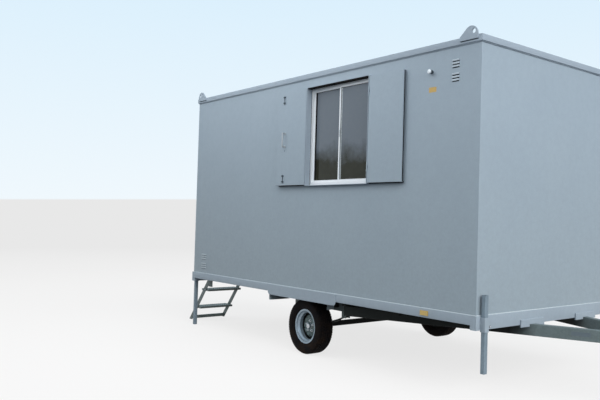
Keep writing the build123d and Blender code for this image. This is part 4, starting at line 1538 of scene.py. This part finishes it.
@dataclass
class Door(Assembly):
    """Steel security door in the rear end, with its frame, hinges, lock and rain bar."""

    edge: float = 1.6 * MM
    border: float = 46 * MM
    panel_in: float = 2.0 * MM
    lap: float = 20 * MM
    lock: Pair = (60 * MM, 180 * MM)
    lock_t: float = 8 * MM
    rose_r: float = 24 * MM
    spindle_r: float = 7 * MM
    key_below: float = 55 * MM
    key_r: float = 8.5 * MM
    hinge_h: float = 110 * MM
    hinge_r: float = 8 * MM
    hinge_shares: tuple[float, ...] = (0.12, 0.5, 0.88)
    flap_t: float = 2.5 * MM
    flap_w: float = 30 * MM
    rain_h: float = 22 * MM
    rain_out: float = 9 * MM
    rain_over: float = 18 * MM
    rain_above: float = 8 * MM
    kick_h: float = 0.16
    kick_t: float = 0.8 * MM
    rivets: int = 7
    rivet_in: Pair = (18 * MM, 14 * MM)
    screw_r: float = 3 * MM

    def build(self) -> None:
        """Build the frame, the leaf and everything fixed to them."""
        dress("door_frame_section", "door_frame", FRAME, self.edge)
        self.leaf = Limits.of("door_leaf")
        points = corners("door_leaf")
        self.lever = Limits.round_points([p for p in points if p.x < self.leaf.low.x + 12 * MM])
        skin = [p.x for p in points if p.y < self.leaf.low.y + MM]
        self.skin, self.back = min(skin), max(skin)
        self._panel()
        self._lock()
        self._hinges()
        self._rain_bar()
        self._kick_plate()

    def _panel(self) -> None:
        """Model the leaf: a skin with a pressed middle that laps the frame, on a thick core."""
        lap = Vector((0, self.lap, self.lap))
        low, high = self.leaf.low.copy(), self.leaf.high.copy()
        low.x = self.back
        core = Piece.slab("core", low + lap, high - lap).ease(self.edge * 0.6)
        low.x, high.x = self.skin, self.back
        sheet = Piece.slab("skin", low, high).press(facing(REARWARD), self.border, -self.panel_in)
        Piece.group("door_leaf_panel", [sheet.ease(self.edge * 0.5), core]).finish(DOOR, "door_leaf")

    def _lock(self) -> None:
        """Model the lock plate with its lever, rose and key barrel."""
        y, z = self.lever.low.y + self.lever.size.z / 2, self.lever.mid.z
        face, (w, h) = self.skin - self.lock_t, self.lock
        plate = Piece.slab("plate", (face, y - w / 2, z - h / 2), (self.skin, y + w / 2, z + h / 2))
        plate.ease(self.edge, 3).named("door_lock_plate").finish(DOOR, "door_leaf")
        rose = rod((face, y, z), (face - 3 * MM, y, z), self.rose_r, 48)
        spindle = Piece.bar("spindle", (face, y, z), (self.lever.mid.x, y, z), self.spindle_r, 24).smooth(32)
        handle = Piece.slab("handle", self.lever.low, self.lever.high).ease(self.lever.size.x * 0.4, 4)
        at = Vector((face, y, z - self.key_below))
        key = Piece.bar("key", at + Vector((self.key_r, 0, 0)), at - Vector((4 * MM, 0, 0)), self.key_r, 32)
        key.press(facing(REARWARD), self.key_r * 0.35, -0.8 * MM).ease(0.5 * MM, 2, RIMS)
        Piece.group("door_lever", [handle, spindle, rose, key]).finish(BRIGHT, "door_leaf")

    def _hinges(self) -> None:
        """Model three lift-off hinges on the side away from the lock."""
        parts, x, y = [], self.skin - self.hinge_r * 0.55, D.door.high.y - self.hinge_r
        flap_x = self.skin - self.flap_t
        for z in (D.door.low.z + share * D.door.size.z for share in self.hinge_shares):
            for low, high in ((-0.5, -0.02), (0.02, 0.5)):
                start, end = (x, y, z + low * self.hinge_h), (x, y, z + high * self.hinge_h)
                parts.append(rod(start, end, self.hinge_r, 28, 1.2 * MM))
            low, high = (flap_x, y, z + 0.02 * self.hinge_h), (self.skin, y - self.flap_w, end[2])
            parts.append(Piece.slab("flap", low, high).ease(0.8 * MM))
            for share in (0.2, 0.4):
                at = Vector((flap_x, y - 20 * MM, z + share * self.hinge_h))
                parts.append(bolt_head(at, REARWARD, self.screw_r, 1.6 * MM))
        Piece.group("door_hinges", parts).finish(ZINC)

    def _rain_bar(self) -> None:
        """Model the sloped rain bar over the door."""
        over, foot = self.rain_over, D.door.high.z + self.rain_above
        low = Vector((D.body.low.x - self.rain_out, D.door.low.y - over, foot))
        high = Vector((D.body.low.x, D.door.high.y + over, foot + self.rain_h))
        bar = Piece.slab("door_rain_bar", low, high)
        bar.chamfer(
            lambda a, b: max(a.x, b.x) < low.x + MM and min(a.z, b.z) > high.z - MM, self.rain_out * 0.85
        )
        bar.press(facing(-UPWARD), 1.5 * MM, -self.rain_h * 0.5).smooth(30).finish(FRAME)

    def _kick_plate(self) -> None:
        """Model the zinc kick plate with its rows of rivets."""
        face, inset = self.skin + self.panel_in, self.border * 1.25
        low = Vector((face - self.kick_t, D.door.low.y + inset, D.door.low.z + inset))
        high = Vector((face, D.door.high.y - inset, low.z + self.kick_h))
        plate = Piece.slab("plate", low, high)
        plate.chamfer(lambda a, b: abs(a.y - b.y) + abs(a.z - b.z) < MM / 9, 8 * MM)
        parts, (margin, edge) = [plate], self.rivet_in
        pitch = (high.y - low.y - 2 * margin) / (self.rivets - 1)
        for z in (low.z + edge, high.z - edge):
            rivet = Piece.ball("rivet", (low.x, low.y + margin, z), (1.1 * MM, 3 * MM, 3 * MM))
            parts.append(rivet.in_row(self.rivets, (0, pitch, 0)))
        Piece.group("door_kick_plate", parts).finish(ZINC)


@dataclass
class Steps(Assembly):
    """Galvanised steps below the door: flat stringers, folded treads and a foot bar."""

    edge: float = 1.2 * MM
    sheet: float = 3 * MM
    stud_pitch: float = 32 * MM
    stud_r: float = 5.5 * MM
    stud_h: float = 1.6 * MM
    bolt_r: float = 6.4 * MM
    bolt_h: float = 4.8 * MM
    bolt_off: float = 12 * MM
    hollow: float = 30 * MM

    def build(self) -> None:
        """Build the stringers, the treads, the foot bar and the bolts."""
        dress("step_stringer_bars", "step_stringers", STEP_ZINC, self.edge)
        *treads, foot = sorted(Limits.each("step_treads"), key=lambda t: -t.mid.z)
        for k, tread in enumerate(treads):
            self._tread(f"step_tread_{k + 1}", tread)
        bar = Piece.slab("step_foot_bar", foot.low, foot.high)
        bar.chamfer(lambda a, b: abs(a.y - b.y) > foot.size.y * 0.9, 4 * MM, 4)
        for way in (NEARWARD, -NEARWARD):
            bar.press(facing(way), self.sheet, -self.hollow)
        bar.smooth().finish(STEP_ZINC, "step_treads")
        heads, middle = [], Limits.of("step_stringers").mid.y
        for stringer in Limits.each("step_stringers"):
            out = sign(stringer.mid.y - middle)
            for tread, dx in product(treads, (-self.bolt_off, self.bolt_off)):
                at = Vector((tread.mid.x + dx, stringer.face(out), tread.mid.z))
                heads.append(bolt_head(at, Vector((0, out, 0)), self.bolt_r, self.bolt_h))
        Piece.group("step_bolts", heads).finish(ZINC)

    def _tread(self, name: str, space: Limits) -> None:
        """Model a folded tread with raised anti-slip studs in staggered rows.

        Args:
            name: the piece's name.
            space: the tread's limits, studs and all.
        """
        high = space.high - Vector((0, 0, self.stud_h))
        tread = Piece.slab("tread", space.low, high)
        tread.press(facing(-UPWARD), self.sheet, -(high.z - space.low.z - self.sheet)).ease(self.edge)
        rows, files = (round(extent / self.stud_pitch) for extent in (space.size.x, space.size.y))
        pitch, parts = self.stud_pitch * 0.93, [tread]
        for i in range(rows):
            count = files - i % 2
            x = space.mid.x + (i - (rows - 1) / 2) * pitch
            y = space.mid.y - (count - 1) / 2 * pitch
            stud = Piece.bar("stud", (x, y, high.z - MM / 4), (x, y, space.high.z), self.stud_r, 12)
            stud.chamfer(lambda a, b: min(a.z, b.z) > space.high.z - MM / 9, self.stud_h * 0.6, 2)
            parts.append(stud.in_row(count, (0, pitch, 0)))
        Piece.group(name, parts).finish(STEP_ZINC, "step_treads")


@dataclass
class Wheel(Assembly):
    """A trailer wheel: tyre with its tread and side walls, and a zinc rim on its hub."""

    side: Side
    steps: int = 96
    groove_d: float = 7 * MM
    doublings: int = 6
    gap: float = 0.22
    lean: float = 0.12
    crown: float = 2.5 * MM
    shoulder: Pair = (4 * MM, 23 * MM)
    shoulder_h: float = 24 * MM
    shoulder_drop: float = 10 * MM
    studs: int = 5
    stud_r: float = 6 * MM
    stud_circle: float = 56 * MM
    nut_r: float = 11.5 * MM
    nut_h: float = 12 * MM
    well_d: float = 18 * MM
    wall_t: float = 3.2 * MM
    cap_l: float = 34 * MM
    bore_r: float = 31 * MM
    vents: int = 10
    vent_circle: float = 100 * MM
    vent_r: float = 8.5 * MM
    vent_l: float = 30 * MM
    valve_at: Pair = (122 * MM, 54 * MM)
    valve_l: float = 34 * MM
    valve_r: float = 3.6 * MM

    def build(self) -> None:
        """Build the tyre, its tread, the rim and the nuts."""
        self.name = self.side.name.lower()
        self.tyre, self.rim = Limits.of(f"tyre_{self.name}"), Limits.of(f"rim_{self.name}")
        self.hub, self.top = self.tyre.mid, self.tyre.size.z / 2
        self.seat = min(off_axle(p, self.hub) for p in corners(f"tyre_{self.name}"))
        self._tyre()
        self._tread()
        self._rim()
        self._nuts()

    def _at(self, inwards: float) -> float:
        """Y of a place some way in from the tyre's outer side."""
        return self.tyre.face(self.side.value) - self.side.value * inwards

    def _fit(self, piece: Piece, part: str, look: Finish, *replaces: str) -> None:
        """Name a piece after its wheel, and finish it on the wheel's body."""
        piece.named(f"{self.name}_{part}").finish(look, *replaces, body=f"wheel_{self.name}")

    def _turned(self, shift: float, outline: Sequence[Pair], angle: float = 35) -> Piece:
        """Turn an outline in millimetres, counted in from a place inside the tyre's outer side."""
        points = [(self._at(shift + y * MM), r * MM) for y, r in outline]
        return Piece.turned("turned", self.hub, points, self.steps).smooth(angle)

    def _tyre(self) -> None:
        """Turn the tyre with rounded side walls, rim ribs and a tread floor."""
        width, top, flange = (v / MM for v in (self.tyre.size.y, self.top, self.rim.size.z / 2))
        seat, toe = self.seat / MM, (self.tyre.size.y - self.rim.size.y) / 2 / MM
        wall = [
            (toe + 4, seat + 0.5), (toe + 4, flange + 0.5), (toe - 2, flange + 3.5), (toe * 0.55, flange + 9),
            (toe * 0.42, flange + 11), (toe * 0.42, flange + 16), (toe * 0.16, flange + 26),
            (0.4, flange + 44), (0, flange + 55), (0.8, flange + 67), (1.8, flange + 69), (1.2, flange + 71),
            (1.5, top - 34), (3, top - 25), (7, top - 17), (13, top - 11), (21, top - 8.5),
            (30, top - self.groove_d / MM),
        ]
        outline = wall + [(width - y, r) for y, r in reversed(wall)] + wall[:1]
        self._fit(self._turned(0.0, outline, 38), "tyre", TYRE, f"tyre_{self.name}")

    def _tread(self) -> None:
        """Stand the ribs and the shoulder blocks on the tread, one by one round the wheel."""
        width, pitch, floor = self.tyre.size.y, math.tau / 2**self.doublings, self.top - self.groove_d
        ribs = ((27, 50, 0.3), (57, 78, 0.0), (84, width / MM - 84, 0.25))
        parts = []
        for y0, y1, shift in (*ribs, *((width / MM - b, width / MM - a, s + 0.1) for a, b, s in ribs[:2])):
            crown = abs((y0 + y1) * MM - width) / width
            top = self.top - self.crown * crown**2
            parts.append(self._block(y0 * MM, y1 * MM, floor - 3 * MM, top, shift * pitch, self.gap))
        start, end = self.shoulder
        for y0, y1 in ((start, end), (width - end, width - start)):
            block = self._block(y0, y1, self.top - self.shoulder_h, self.top - 3 * MM, 0.0, self.gap * 1.5)
            outer = self._at(y0 if y0 < width / 2 else y1)
            with block.editing():
                block.pick("EDGE", lambda a, b: min(a.z, b.z) > self.hub.z + self.top - 5 * MM
                                 and max(abs(a.y - outer), abs(b.y - outer)) < 4 * MM)
                bpy.ops.transform.translate(value=(0, 0, -self.shoulder_drop))
            parts.append(block.spin(self.hub, (0, 1, 0), pitch / 2))
        tread = Piece.group("tread", parts).round_axle(self.hub, self.doublings)
        self._fit(tread.smooth(30), "tread_blocks", TREAD)

    def _block(self, y0: float, y1: float, low_r: float, high_r: float, turn: float, gap: float) -> Piece:
        """Model one tread block on top of the wheel, turned to its place.

        Args:
            y0: outer side, in from the tyre's outer side.
            y1: inner side.
            low_r: radius of its foot.
            high_r: radius of its face.
            turn: angle round the axle.
            gap: share of the pitch left open.

        Returns:
            The block.
        """
        half = math.pi * high_r / 2**self.doublings * (1 - gap)
        low = Vector((self.hub.x - half, self._at(y0), self.hub.z + low_r))
        high = Vector((self.hub.x + half, self._at(y1), self.hub.z + high_r - 0.4 * MM))
        block = Piece.slab("block", low, high)
        with block.editing():
            block.pick("FACE", facing(UPWARD))
            share = 1 - self.lean
            bpy.ops.transform.resize(value=(share, share, 1), center_override=(low + high) / 2)
        return block.spin(self.hub, (0, 1, 0), turn)

    def _rim(self) -> None:
        """Turn the rim with its rolled lips and well, the deep disc, the cap and the brake drum; the rim's
        inner half is black as painted shade, and the real drum's black also paints the shade inside the
        wheel.
        """
        toe = abs(self.rim.face(self.side.value) - self._at(0))
        centre = [p for p in corners(f"rim_{self.name}") if off_axle(p, self.hub) < self.bore_r]
        cap = abs(Limits.round_points(centre).face(self.side.value) - self._at(0))
        face = cap + self.cap_l
        width, flange, seat, t = (
            v / MM for v in (self.rim.size.y, self.rim.size.z / 2, self.seat - 0.5 * MM, self.wall_t)
        )
        well = seat - self.well_d / MM
        half = [
            (0.8, flange - 3), (0, flange - 1.5), (0.8, flange - 0.3), (t, flange), (t + 0.6, flange - 3),
            (t + 1, seat + 2), (t + 3, seat), (16, seat - 0.6), (22, seat - 4), (31, well + 3), (35, well),
        ]
        back = [(35, well - t), (31, well - t + 3), (22, seat - 4 - t), (16, seat - t - 1), (5, seat - t),
                (1.5, seat - 2)]
        outer = half + [(width / 2, well), (width / 2, well - t)] + back + half[:1]
        seam = well - t + 1
        dish = [
            (3, 31), (0, 33), (0, 72), (2, 76), (3, 86), (1, 91), (-3, 96), (-3, 108), (3, 115), (24, 125),
            (36, 136), (40, seam), (46, seam), (42, 133), (30, 121), (9, 110), (3, 105), (4, 96), (8, 88),
            (7, 31), (3, 31),
        ]
        self.face, disc, cutters = self._at(face), self._turned(face, dish), []
        for turn in (math.tau * (k + 0.5) / self.vents for k in range(self.vents)):
            at = self._on_circle(self.vent_circle, turn)
            ends = ((at.x, self.face + depth, at.z) for depth in (-self.vent_l, self.vent_l))
            cutters.append(Piece.bar("vent", *ends, self.vent_r, 20))
        length = self.cap_l / MM
        grease = [
            (0, 0), (0, 21), (1.5, 26), (5, 28), (length - 3, 28.5), (length - 2, 30), (length + 4, 30),
            (length + 4, 0),
        ]
        drum = [
            (6, 0), (6, 64), (10, 69), (24, 70), (26, 74), (31, 74), (33, 70), (58, 70), (58, 140), (63, 156),
            (66, 156), (66, 0),
        ]
        self._fit(self._turned(toe, outer), "rim", RIM_ZINC, f"rim_{self.name}")
        # Painted shade: the rim's inner half in black paint.
        self._fit(self._turned(toe, [(width - y, r) for y, r in outer]), "inner_rim", CHASSIS)
        self._fit(disc.minus(*cutters).smooth(35), "rim_disc", DISC_ZINC)
        self._fit(self._turned(cap, grease), "hub_cap", BRIGHT)
        # The brake drum is a real part; its black also paints the shade inside the wheel.
        self._fit(self._turned(face, drum), "brake_drum", CHASSIS)

    def _on_circle(self, radius: float, turn: float) -> Vector:
        """Give a point on the disc's face, by its distance from the axle and its angle."""
        x, z = self.hub.x + radius * math.cos(turn), self.hub.z + radius * math.sin(turn)
        return Vector((x, self.face, z))

    def _nuts(self) -> None:
        """Model the five wheel nuts on their studs, and the tyre valve."""
        out, nuts = Vector((0, self.side.value, 0)), []
        for k in range(self.studs):
            at = self._on_circle(self.stud_circle, math.tau * k / self.studs + math.pi / 2)
            nuts.append(bolt_head(at, out, self.nut_r, self.nut_h))
            nuts.append(rod(at, at + out * (self.nut_h + self.stud_r), self.stud_r, 20))
        spot = Vector((self.hub.x + self.valve_at[0], self.face, self.hub.z + self.valve_at[1]))
        nuts.append(rod(spot, spot + out * self.valve_l, self.valve_r, 16, 0.8 * MM))
        self._fit(Piece.group("nuts", nuts), "wheel_nuts", BRIGHT)


@dataclass
class Chassis(Assembly):
    """Floor frame, springs and axle, the A-frame drawbar with its head, and the jockey stand."""

    edge: float = 1.2 * MM
    web: float = 5 * MM
    joist_in: float = 30 * MM
    beam_in: float = 20 * MM
    # Full painted shade on the beams stops this far behind the cabin's front face, then fades out.
    shade_ahead: float = 0.08
    groove: float = 2 * MM
    deck_boards: int = 4
    rod_r: float = 6 * MM
    rod_off: float = 40 * MM
    rod_gap: float = 7 * MM
    rod_past: float = 16 * MM
    crown: float = 24 * MM
    clamp: Pair = (55 * MM, 14 * MM)
    clamp_t: float = 9 * MM
    box_back: float = 0.60
    box_fore: float = 0.335
    hanger_in: float = 65 * MM
    tab_in: float = 105 * MM
    tab_h: float = 80.6 * MM
    box_h: float = 62 * MM
    box_lip: float = 30 * MM
    bead: float = 3 * MM
    head_bolt_r: float = 11 * MM
    head_bolt_shares: Pair = (0.25, 0.55)
    plate: Pair = (0.165, 0.036)
    plate_t: float = 1.0 * MM
    plate_ahead: float = 0.435
    rivet_in: float = 6 * MM
    grip_out: float = 30 * MM
    grip_reach: float = 45 * MM

    def build(self) -> None:
        """Build what lies below the cabin."""
        dress("wheel_side_skirts", "wheel_side_plates", FRAME, self.edge)
        dress("spring_packs", "leaf_springs", CHASSIS, self.edge * 0.7)
        dress("axle_tube", "axle_beam", CHASSIS, self.edge * 2)
        dress("spring_hanger_rails", "spring_rails", SPRING_RAIL, self.edge)
        for name, node, depth in (("floor_joist_channels", "floor_joists", self.joist_in),
                                  ("cross_beam_channels", "chassis_cross_beams", self.beam_in)):
            channels = Piece.from_node(name, node).press(facing(REARWARD), self.web, -depth)
            channels.ease(self.edge).finish(CHASSIS, node)
        deck, cutters = Limits.of("floor_deck"), []
        for x in (deck.low.x + k * deck.size.x / self.deck_boards for k in range(1, self.deck_boards)):
            low = (x - self.groove / 2, deck.low.y - MM, deck.high.z - self.groove)
            high = (x + self.groove / 2, deck.high.y + MM, deck.high.z + MM)
            cutters.append(Piece.slab("groove", low, high))
        Piece.from_node("deck_boards", "floor_deck").minus(*cutters).finish(PLY, "floor_deck")
        self._clamps()
        # The drawbar beams carry painted shade: near black under the cabin.
        beam_look = replace(BEAM_ZINC, shaded_to=D.body.high.x - self.shade_ahead, shine=0.12)
        for side in ("near", "far"):
            dress(f"drawbar_{side}_channel", f"drawbar_beam_{side}", beam_look, self.edge * 3, 3)
        dress("drawbar_cleat_plates", "drawbar_cleats", FRAME, self.edge)
        self._wheel_box_ends()
        dress("towing_head", "tow_coupling", BEAM_ZINC, self.edge * 1.6, 3)
        dress("jockey_stem", "jockey_stand", ZINC, self.edge)
        self._welds_and_bolts()
        self._blank_plate()
        self._jockey()

    def _wheel_box_ends(self) -> None:
        """Model the folded plate behind each tyre, in paler paint as painted light on its shaded face, and
        the tab on its arm ahead of the tyre, painted pale as painted light.
        """
        x, deck, rail = Limits.of("tyre_near").mid.x, D.ends.low.z, Limits.of("spring_rails")
        back, fore, t, foot = x - self.box_back, x + self.box_fore, self.web / 2, deck - self.box_h
        for side in Side:
            name, out = side.name.lower(), side.value
            skirt, inner = D.body.face(out), rail.face(out)
            start = (back, skirt + out * MM, foot)
            web = Piece.slab("web", start, (back + t, inner, deck)).ease(MM)
            lip = Piece.slab("lip", start, (back + self.box_lip, inner, foot + t)).ease(MM)
            # Painted light: the plate takes the paler louvre paint to lift it out of its shade.
            Piece.group(f"{name}_wheel_box_end", [web, lip]).finish(HOOD)
            start = (fore, skirt - out * self.tab_in, deck - self.tab_h)
            end = (fore + t, inner + out * self.hanger_in, deck)
            # Painted light: the tab is pale where it hangs in the shade of the box.
            strip(f"{name}_wheel_box_tab", start, end, MM, PAINTED_LIGHT)
            start = (fore, inner + out * (self.hanger_in + MM), foot)
            strip(f"{name}_tab_arm", start, (fore + t, inner - out * MM, deck), MM, CHASSIS)

    def _clamps(self) -> None:
        """Model the U bolts and clamp plates that hold each spring to the axle."""
        parts, axle, reach = [], Limits.of("axle_beam"), Vector((*self.clamp, 0))
        foot, crown = axle.mid.z - axle.size.z / 2 - self.clamp_t, axle.high.z + self.crown
        for spring in Limits.each("leaf_springs"):
            y, half = spring.mid.y, spring.size.y / 2
            low = Vector((axle.mid.x, y - half, foot))
            high = Vector((axle.mid.x, y + half, foot + self.clamp_t))
            parts.append(Piece.slab("clamp", low - reach, high + reach).ease(1.5 * MM))
            for x in (axle.mid.x - self.rod_off, axle.mid.x + self.rod_off):
                sides = (y - half - self.rod_gap, y + half + self.rod_gap)
                parts.append(Piece.bar("bridge", (x, sides[0], crown), (x, sides[1], crown), self.rod_r, 16))
                for side in sides:
                    end = (x, side, foot - self.rod_past)
                    leg = Piece.bar("leg", end, (x, side, crown), self.rod_r, 16)
                    parts += [leg, bolt_head(Vector((x, side, foot)), -UPWARD, self.rod_r * 1.7, 9 * MM)]
        Piece.group("spring_clamps", parts).smooth().finish(CHASSIS)

    def _welds_and_bolts(self) -> None:
        """Lay the weld on top of each cleat, and model the bolts through the towing head."""
        beads = []
        for cleat in Limits.each("drawbar_cleats"):
            start = Vector((D.ends.high.x + self.bead * 0.3, cleat.low.y + self.bead, cleat.high.z))
            beads.append(weld_bead(start, start + Vector((0, cleat.size.y - 2 * self.bead, 0)), self.bead))
        Piece.group("cleat_welds", beads).finish(FRAME)
        head, heads = Limits.of("tow_coupling"), []
        wide = [p.x for p in corners("tow_coupling") if abs(p.y - head.low.y) < MM]
        for x in (min(wide) + share * (max(wide) - min(wide)) for share in self.head_bolt_shares):
            for y, way in ((head.low.y, NEARWARD), (head.high.y, -NEARWARD)):
                heads.append(bolt_head(Vector((x, y, head.mid.z - 12 * MM)), way, self.head_bolt_r, 8 * MM))
        Piece.group("towing_head_bolts", heads).finish(ZINC)

    def _blank_plate(self) -> None:
        """Fix the blank plate, with four rivets, on the outer face of the near beam."""
        points = corners("drawbar_beam_near")
        back = min(points, key=lambda p: (round(p.x, 3), p.y))
        tip = min((p for p in points if p.x > back.x + 0.5), key=lambda p: round(p.y - p.x * 0.3, 3))
        slope = (tip.y - back.y) / (tip.x - back.x)
        x = D.body.high.x + self.plate_ahead
        at = Vector((x, back.y + slope * (x - back.x), Limits.of("drawbar_beam_near").mid.z + 6 * MM))
        half = half_of(self.plate)
        sheet = Piece.slab("plate", at - half - Vector((0, self.plate_t, 0)), at + half)
        sheet.press(facing(NEARWARD), 3 * MM, -0.3 * MM).smooth()
        parts, inset = [sheet], half - Vector((self.rivet_in, 0, self.rivet_in))
        for sx, sz in product((-1, 1), (-1, 1)):
            spot = at + Vector((sx * inset.x, -self.plate_t, sz * inset.z))
            parts.append(Piece.ball("rivet", spot, (2.4 * MM, 1.2 * MM, 2.4 * MM)))
        Piece.group("blank_data_plate", parts).spin(at, (0, 0, 1), math.atan(slope)).finish(PLATE)

    def _jockey(self) -> None:
        """Model the stand's T handle, and turn the solid wheel with a crowned tread."""
        stand, wheel = Limits.of("jockey_stand"), Limits.of("jockey_wheel")
        block = Limits.round_points([p for p in corners("jockey_stand") if p.y < stand.low.y + MM])
        x, y, z, reach = block.high.x, wheel.mid.y, block.mid.z, self.grip_reach
        out, ends = x + self.grip_out, (z - reach, z + reach)
        parts = [
            rod((x, y, z), (out + 4 * MM, y, z), 6 * MM, edge=0.8 * MM),
            rod((out, y, ends[0]), (out, y, ends[1]), 5 * MM, 20),
            *(Piece.ball("end", (out, y, end), (6.5 * MM,) * 3, 16) for end in ends),
        ]
        Piece.group("jockey_clamp_handle", parts).finish(ZINC)
        top, half = wheel.size.z / 2, wheel.size.y / 2
        side = [
            (0, 0.1), (0, 0.2), (0.35, 0.21), (0.4, 0.62), (0.05, 0.68), (0.02, 0.9), (0.12, 0.97), (0.5, 1)
        ]
        outline = [(wheel.low.y + share * half, r * top) for share, r in side]
        outline += [(wheel.high.y - share * half, r * top) for share, r in reversed(side)]
        Piece.turned("jockey_tyre", wheel.mid, outline + outline[:1]).finish(SOLID, "jockey_wheel")


# Stage --------------------
@dataclass(frozen=True)
class Lamp:
    """A broad lamp: a sun by its angle across in degrees, or an oblong one placed from a lower corner."""

    name: str
    power: float
    towards: Triple
    spread: float = 0.0
    size: Pair | None = None
    at: Triple = (0.0, 0.0, 0.0)
    end: End = End.FRONT
    glossy: bool = False


@dataclass
class Studio:
    """Camera, soft lamps, pale floor and pale sky."""

    eye: Triple = (3.648, -4.284, 0.873)
    yaw: float = -47.71
    pitch: float = 1.61
    roll: float = 1.51
    sensor: float = 36.0
    lens: float = 41.58
    shift: float = -0.15
    view_to: float = 200.0
    floor_r: float = 60.0
    pale: Colour = (0.88, 0.86, 0.85)
    near: Colour = (0.905, 0.905, 0.905)
    far: Colour = (0.807, 0.807, 0.807)
    dark: Colour = (0.09, 0.11, 0.13)
    haze: Colour = (0.87, 0.94, 0.985)
    zenith: Colour = (0.70, 0.865, 0.982)
    light: Colour = (0.90, 0.96, 1.0)
    strength: float = 0.42
    lamps: tuple[Lamp, ...] = (
        Lamp("key", 2.95, (-0.88, 0.0, -0.55), spread=50, glossy=True),
        Lamp("side", 0.82, (0.45, 0.75, -0.5), spread=40),
        Lamp("front", 95.0, (-0.55, 0.72, -0.42), size=(3.0, 3.0), at=(2.5, -4.8, 3.6)),
        Lamp("high", 28.0, (0, 0.85, -0.5), size=(4.6, 1.0), at=(1.6, -1.5, 3.15), end=End.REAR),
    )

    def build(self) -> None:
        """Set up everything round the cabin."""
        self._camera()
        for lamp in self.lamps:
            self._hang(lamp)
        self._floor()
        self._sky()
        bpy.context.scene.view_settings.view_transform = "Standard"

    @staticmethod
    def _corner(end: End) -> Vector:
        """Give a lower corner of the near side, from which lamps and camera are placed."""
        return Vector((D.body.face(end.value, 0), D.body.low.y, D.ends.low.z))

    def _camera(self) -> None:
        """Place the camera at the front corner, looking back along the near side."""
        yaw, pitch, roll = (math.radians(a) for a in (self.yaw, self.pitch, self.roll))
        look = Vector((math.sin(yaw) * math.cos(pitch), math.cos(yaw) * math.cos(pitch), math.sin(pitch)))
        right = look.cross(UPWARD).normalized()
        up = right.cross(look)
        right, up = right * math.cos(roll) + up * math.sin(roll), up * math.cos(roll) - right * math.sin(roll)
        data = bpy.data.cameras.new("camera")
        camera = bpy.data.objects.new("camera", data)
        bpy.context.scene.collection.objects.link(camera)
        turn = Matrix((right, up, -look)).transposed().to_4x4()
        camera.matrix_world = Matrix.Translation(self._corner(End.FRONT) + Vector(self.eye)) @ turn
        self.up = up
        data.sensor_width, data.lens, data.shift_x = self.sensor, self.lens, self.shift
        data.clip_end = self.view_to
        bpy.context.scene.camera = camera

    def _hang(self, lamp: Lamp) -> None:
        """Add a lamp; an oblong one doesn't show to the camera.

        Args:
            lamp: what to add.
        """
        data = bpy.data.lights.new(lamp.name, "AREA" if lamp.size else "SUN")
        data.energy = lamp.power
        made = bpy.data.objects.new(lamp.name, data)
        made.rotation_euler = Vector(lamp.towards).to_track_quat("-Z", "Y").to_euler()
        made.visible_glossy = lamp.glossy
        bpy.context.scene.collection.objects.link(made)
        if lamp.size:
            made.location, data.shape = self._corner(lamp.end) + Vector(lamp.at), "RECTANGLE"
            data.size, data.size_y = lamp.size
            made.visible_camera = False
        else:
            data.angle = math.radians(lamp.spread)

    @staticmethod
    def _seen(g: Graph) -> Sock:
        """Give 1 to rays from the camera, through glass or off metal, and 0 to the rest.

        Args:
            g: the graph to add nodes to.

        Returns:
            The mask.
        """
        path = g.node("ShaderNodeLightPath")
        seen = path.out("Is Camera Ray")
        for name in ("Is Glossy Ray", "Is Transmission Ray"):
            seen = g.node("ShaderNodeMath", {"operation": "MAXIMUM"}, {0: seen, 1: path.out(name)})
        return seen

    def _floor(self) -> None:
        """Lay a pale floor, plain to the horizon, that throws little light back up."""
        disc = Piece.bar("stage_floor", (0, 0, -0.02), (0, 0, 0), self.floor_r, 96)
        made = bpy.data.materials.new("stage_floor")
        made.use_nodes = True
        g = Graph(made.node_tree)
        seen = self._seen(g)
        away = g.node("ShaderNodeVectorMath", {"operation": "LENGTH"}, {0: g.place}).out("Value")
        matt = g.node("ShaderNodeBsdfDiffuse", {}, {0: g.mix(seen, self.dark, self.pale)})
        shade = g.mix(away.between(3.0, 24.0), self.near, self.far)
        glow = g.node("ShaderNodeEmission", {}, {0: shade, 1: 1.0})
        share = away.between(4.0, 12.0, 0.84, 1.0) * seen
        g.ends("ShaderNodeOutputMaterial", g.node("ShaderNodeMixShader", {}, {0: share, 1: matt, 2: glow}))
        disc.obj.data.materials.append(made)

    def _sky(self) -> None:
        """Give a plain light, stronger from above, and a pale blue sky behind."""
        world = bpy.data.worlds.new("sky")
        bpy.context.scene.world = world
        world.use_nodes = True
        g = Graph(world.node_tree)
        way = g.node("ShaderNodeTexCoord")
        rise = g.node("ShaderNodeVectorMath", {"operation": "DOT_PRODUCT"}, {0: way, 1: self.up}).out("Value")
        sky = g.mix(rise.between(0.0, 0.30), self.haze, self.zenith)
        sky = g.mix(rise.between(0.0, 0.002), self.far, sky)
        shown = g.node("ShaderNodeBackground", {}, {0: sky, 1: 1.0})
        power = rise.between(0.0, 0.9, self.strength * 0.75, self.strength * 1.7)
        light = g.node("ShaderNodeBackground", {}, {0: self.light, 1: power})
        both = g.node("ShaderNodeMixShader", {}, {0: self._seen(g), 1: light, 2: shown})
        g.ends("ShaderNodeOutputWorld", both)


def main() -> None:
    """Build the cabin's sub-assemblies in order."""
    logging.basicConfig(level=logging.WARNING, format="%(name)s: %(message)s")
    for assembly in (Shell(), Rails(), Window(), Shutters(), WallFittings(), CornerLegs(), Door(), Steps(),
                     Wheel(Side.NEAR), Wheel(Side.FAR), Chassis()):
        LOG.info("building %s", type(assembly).__name__)
        assembly.build()
    Studio().build()
    for name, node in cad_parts.items():
        if not node.hide_render:
            LOG.warning("%s still shows as it was packed", name)


if __name__ == "__main__":
    main()
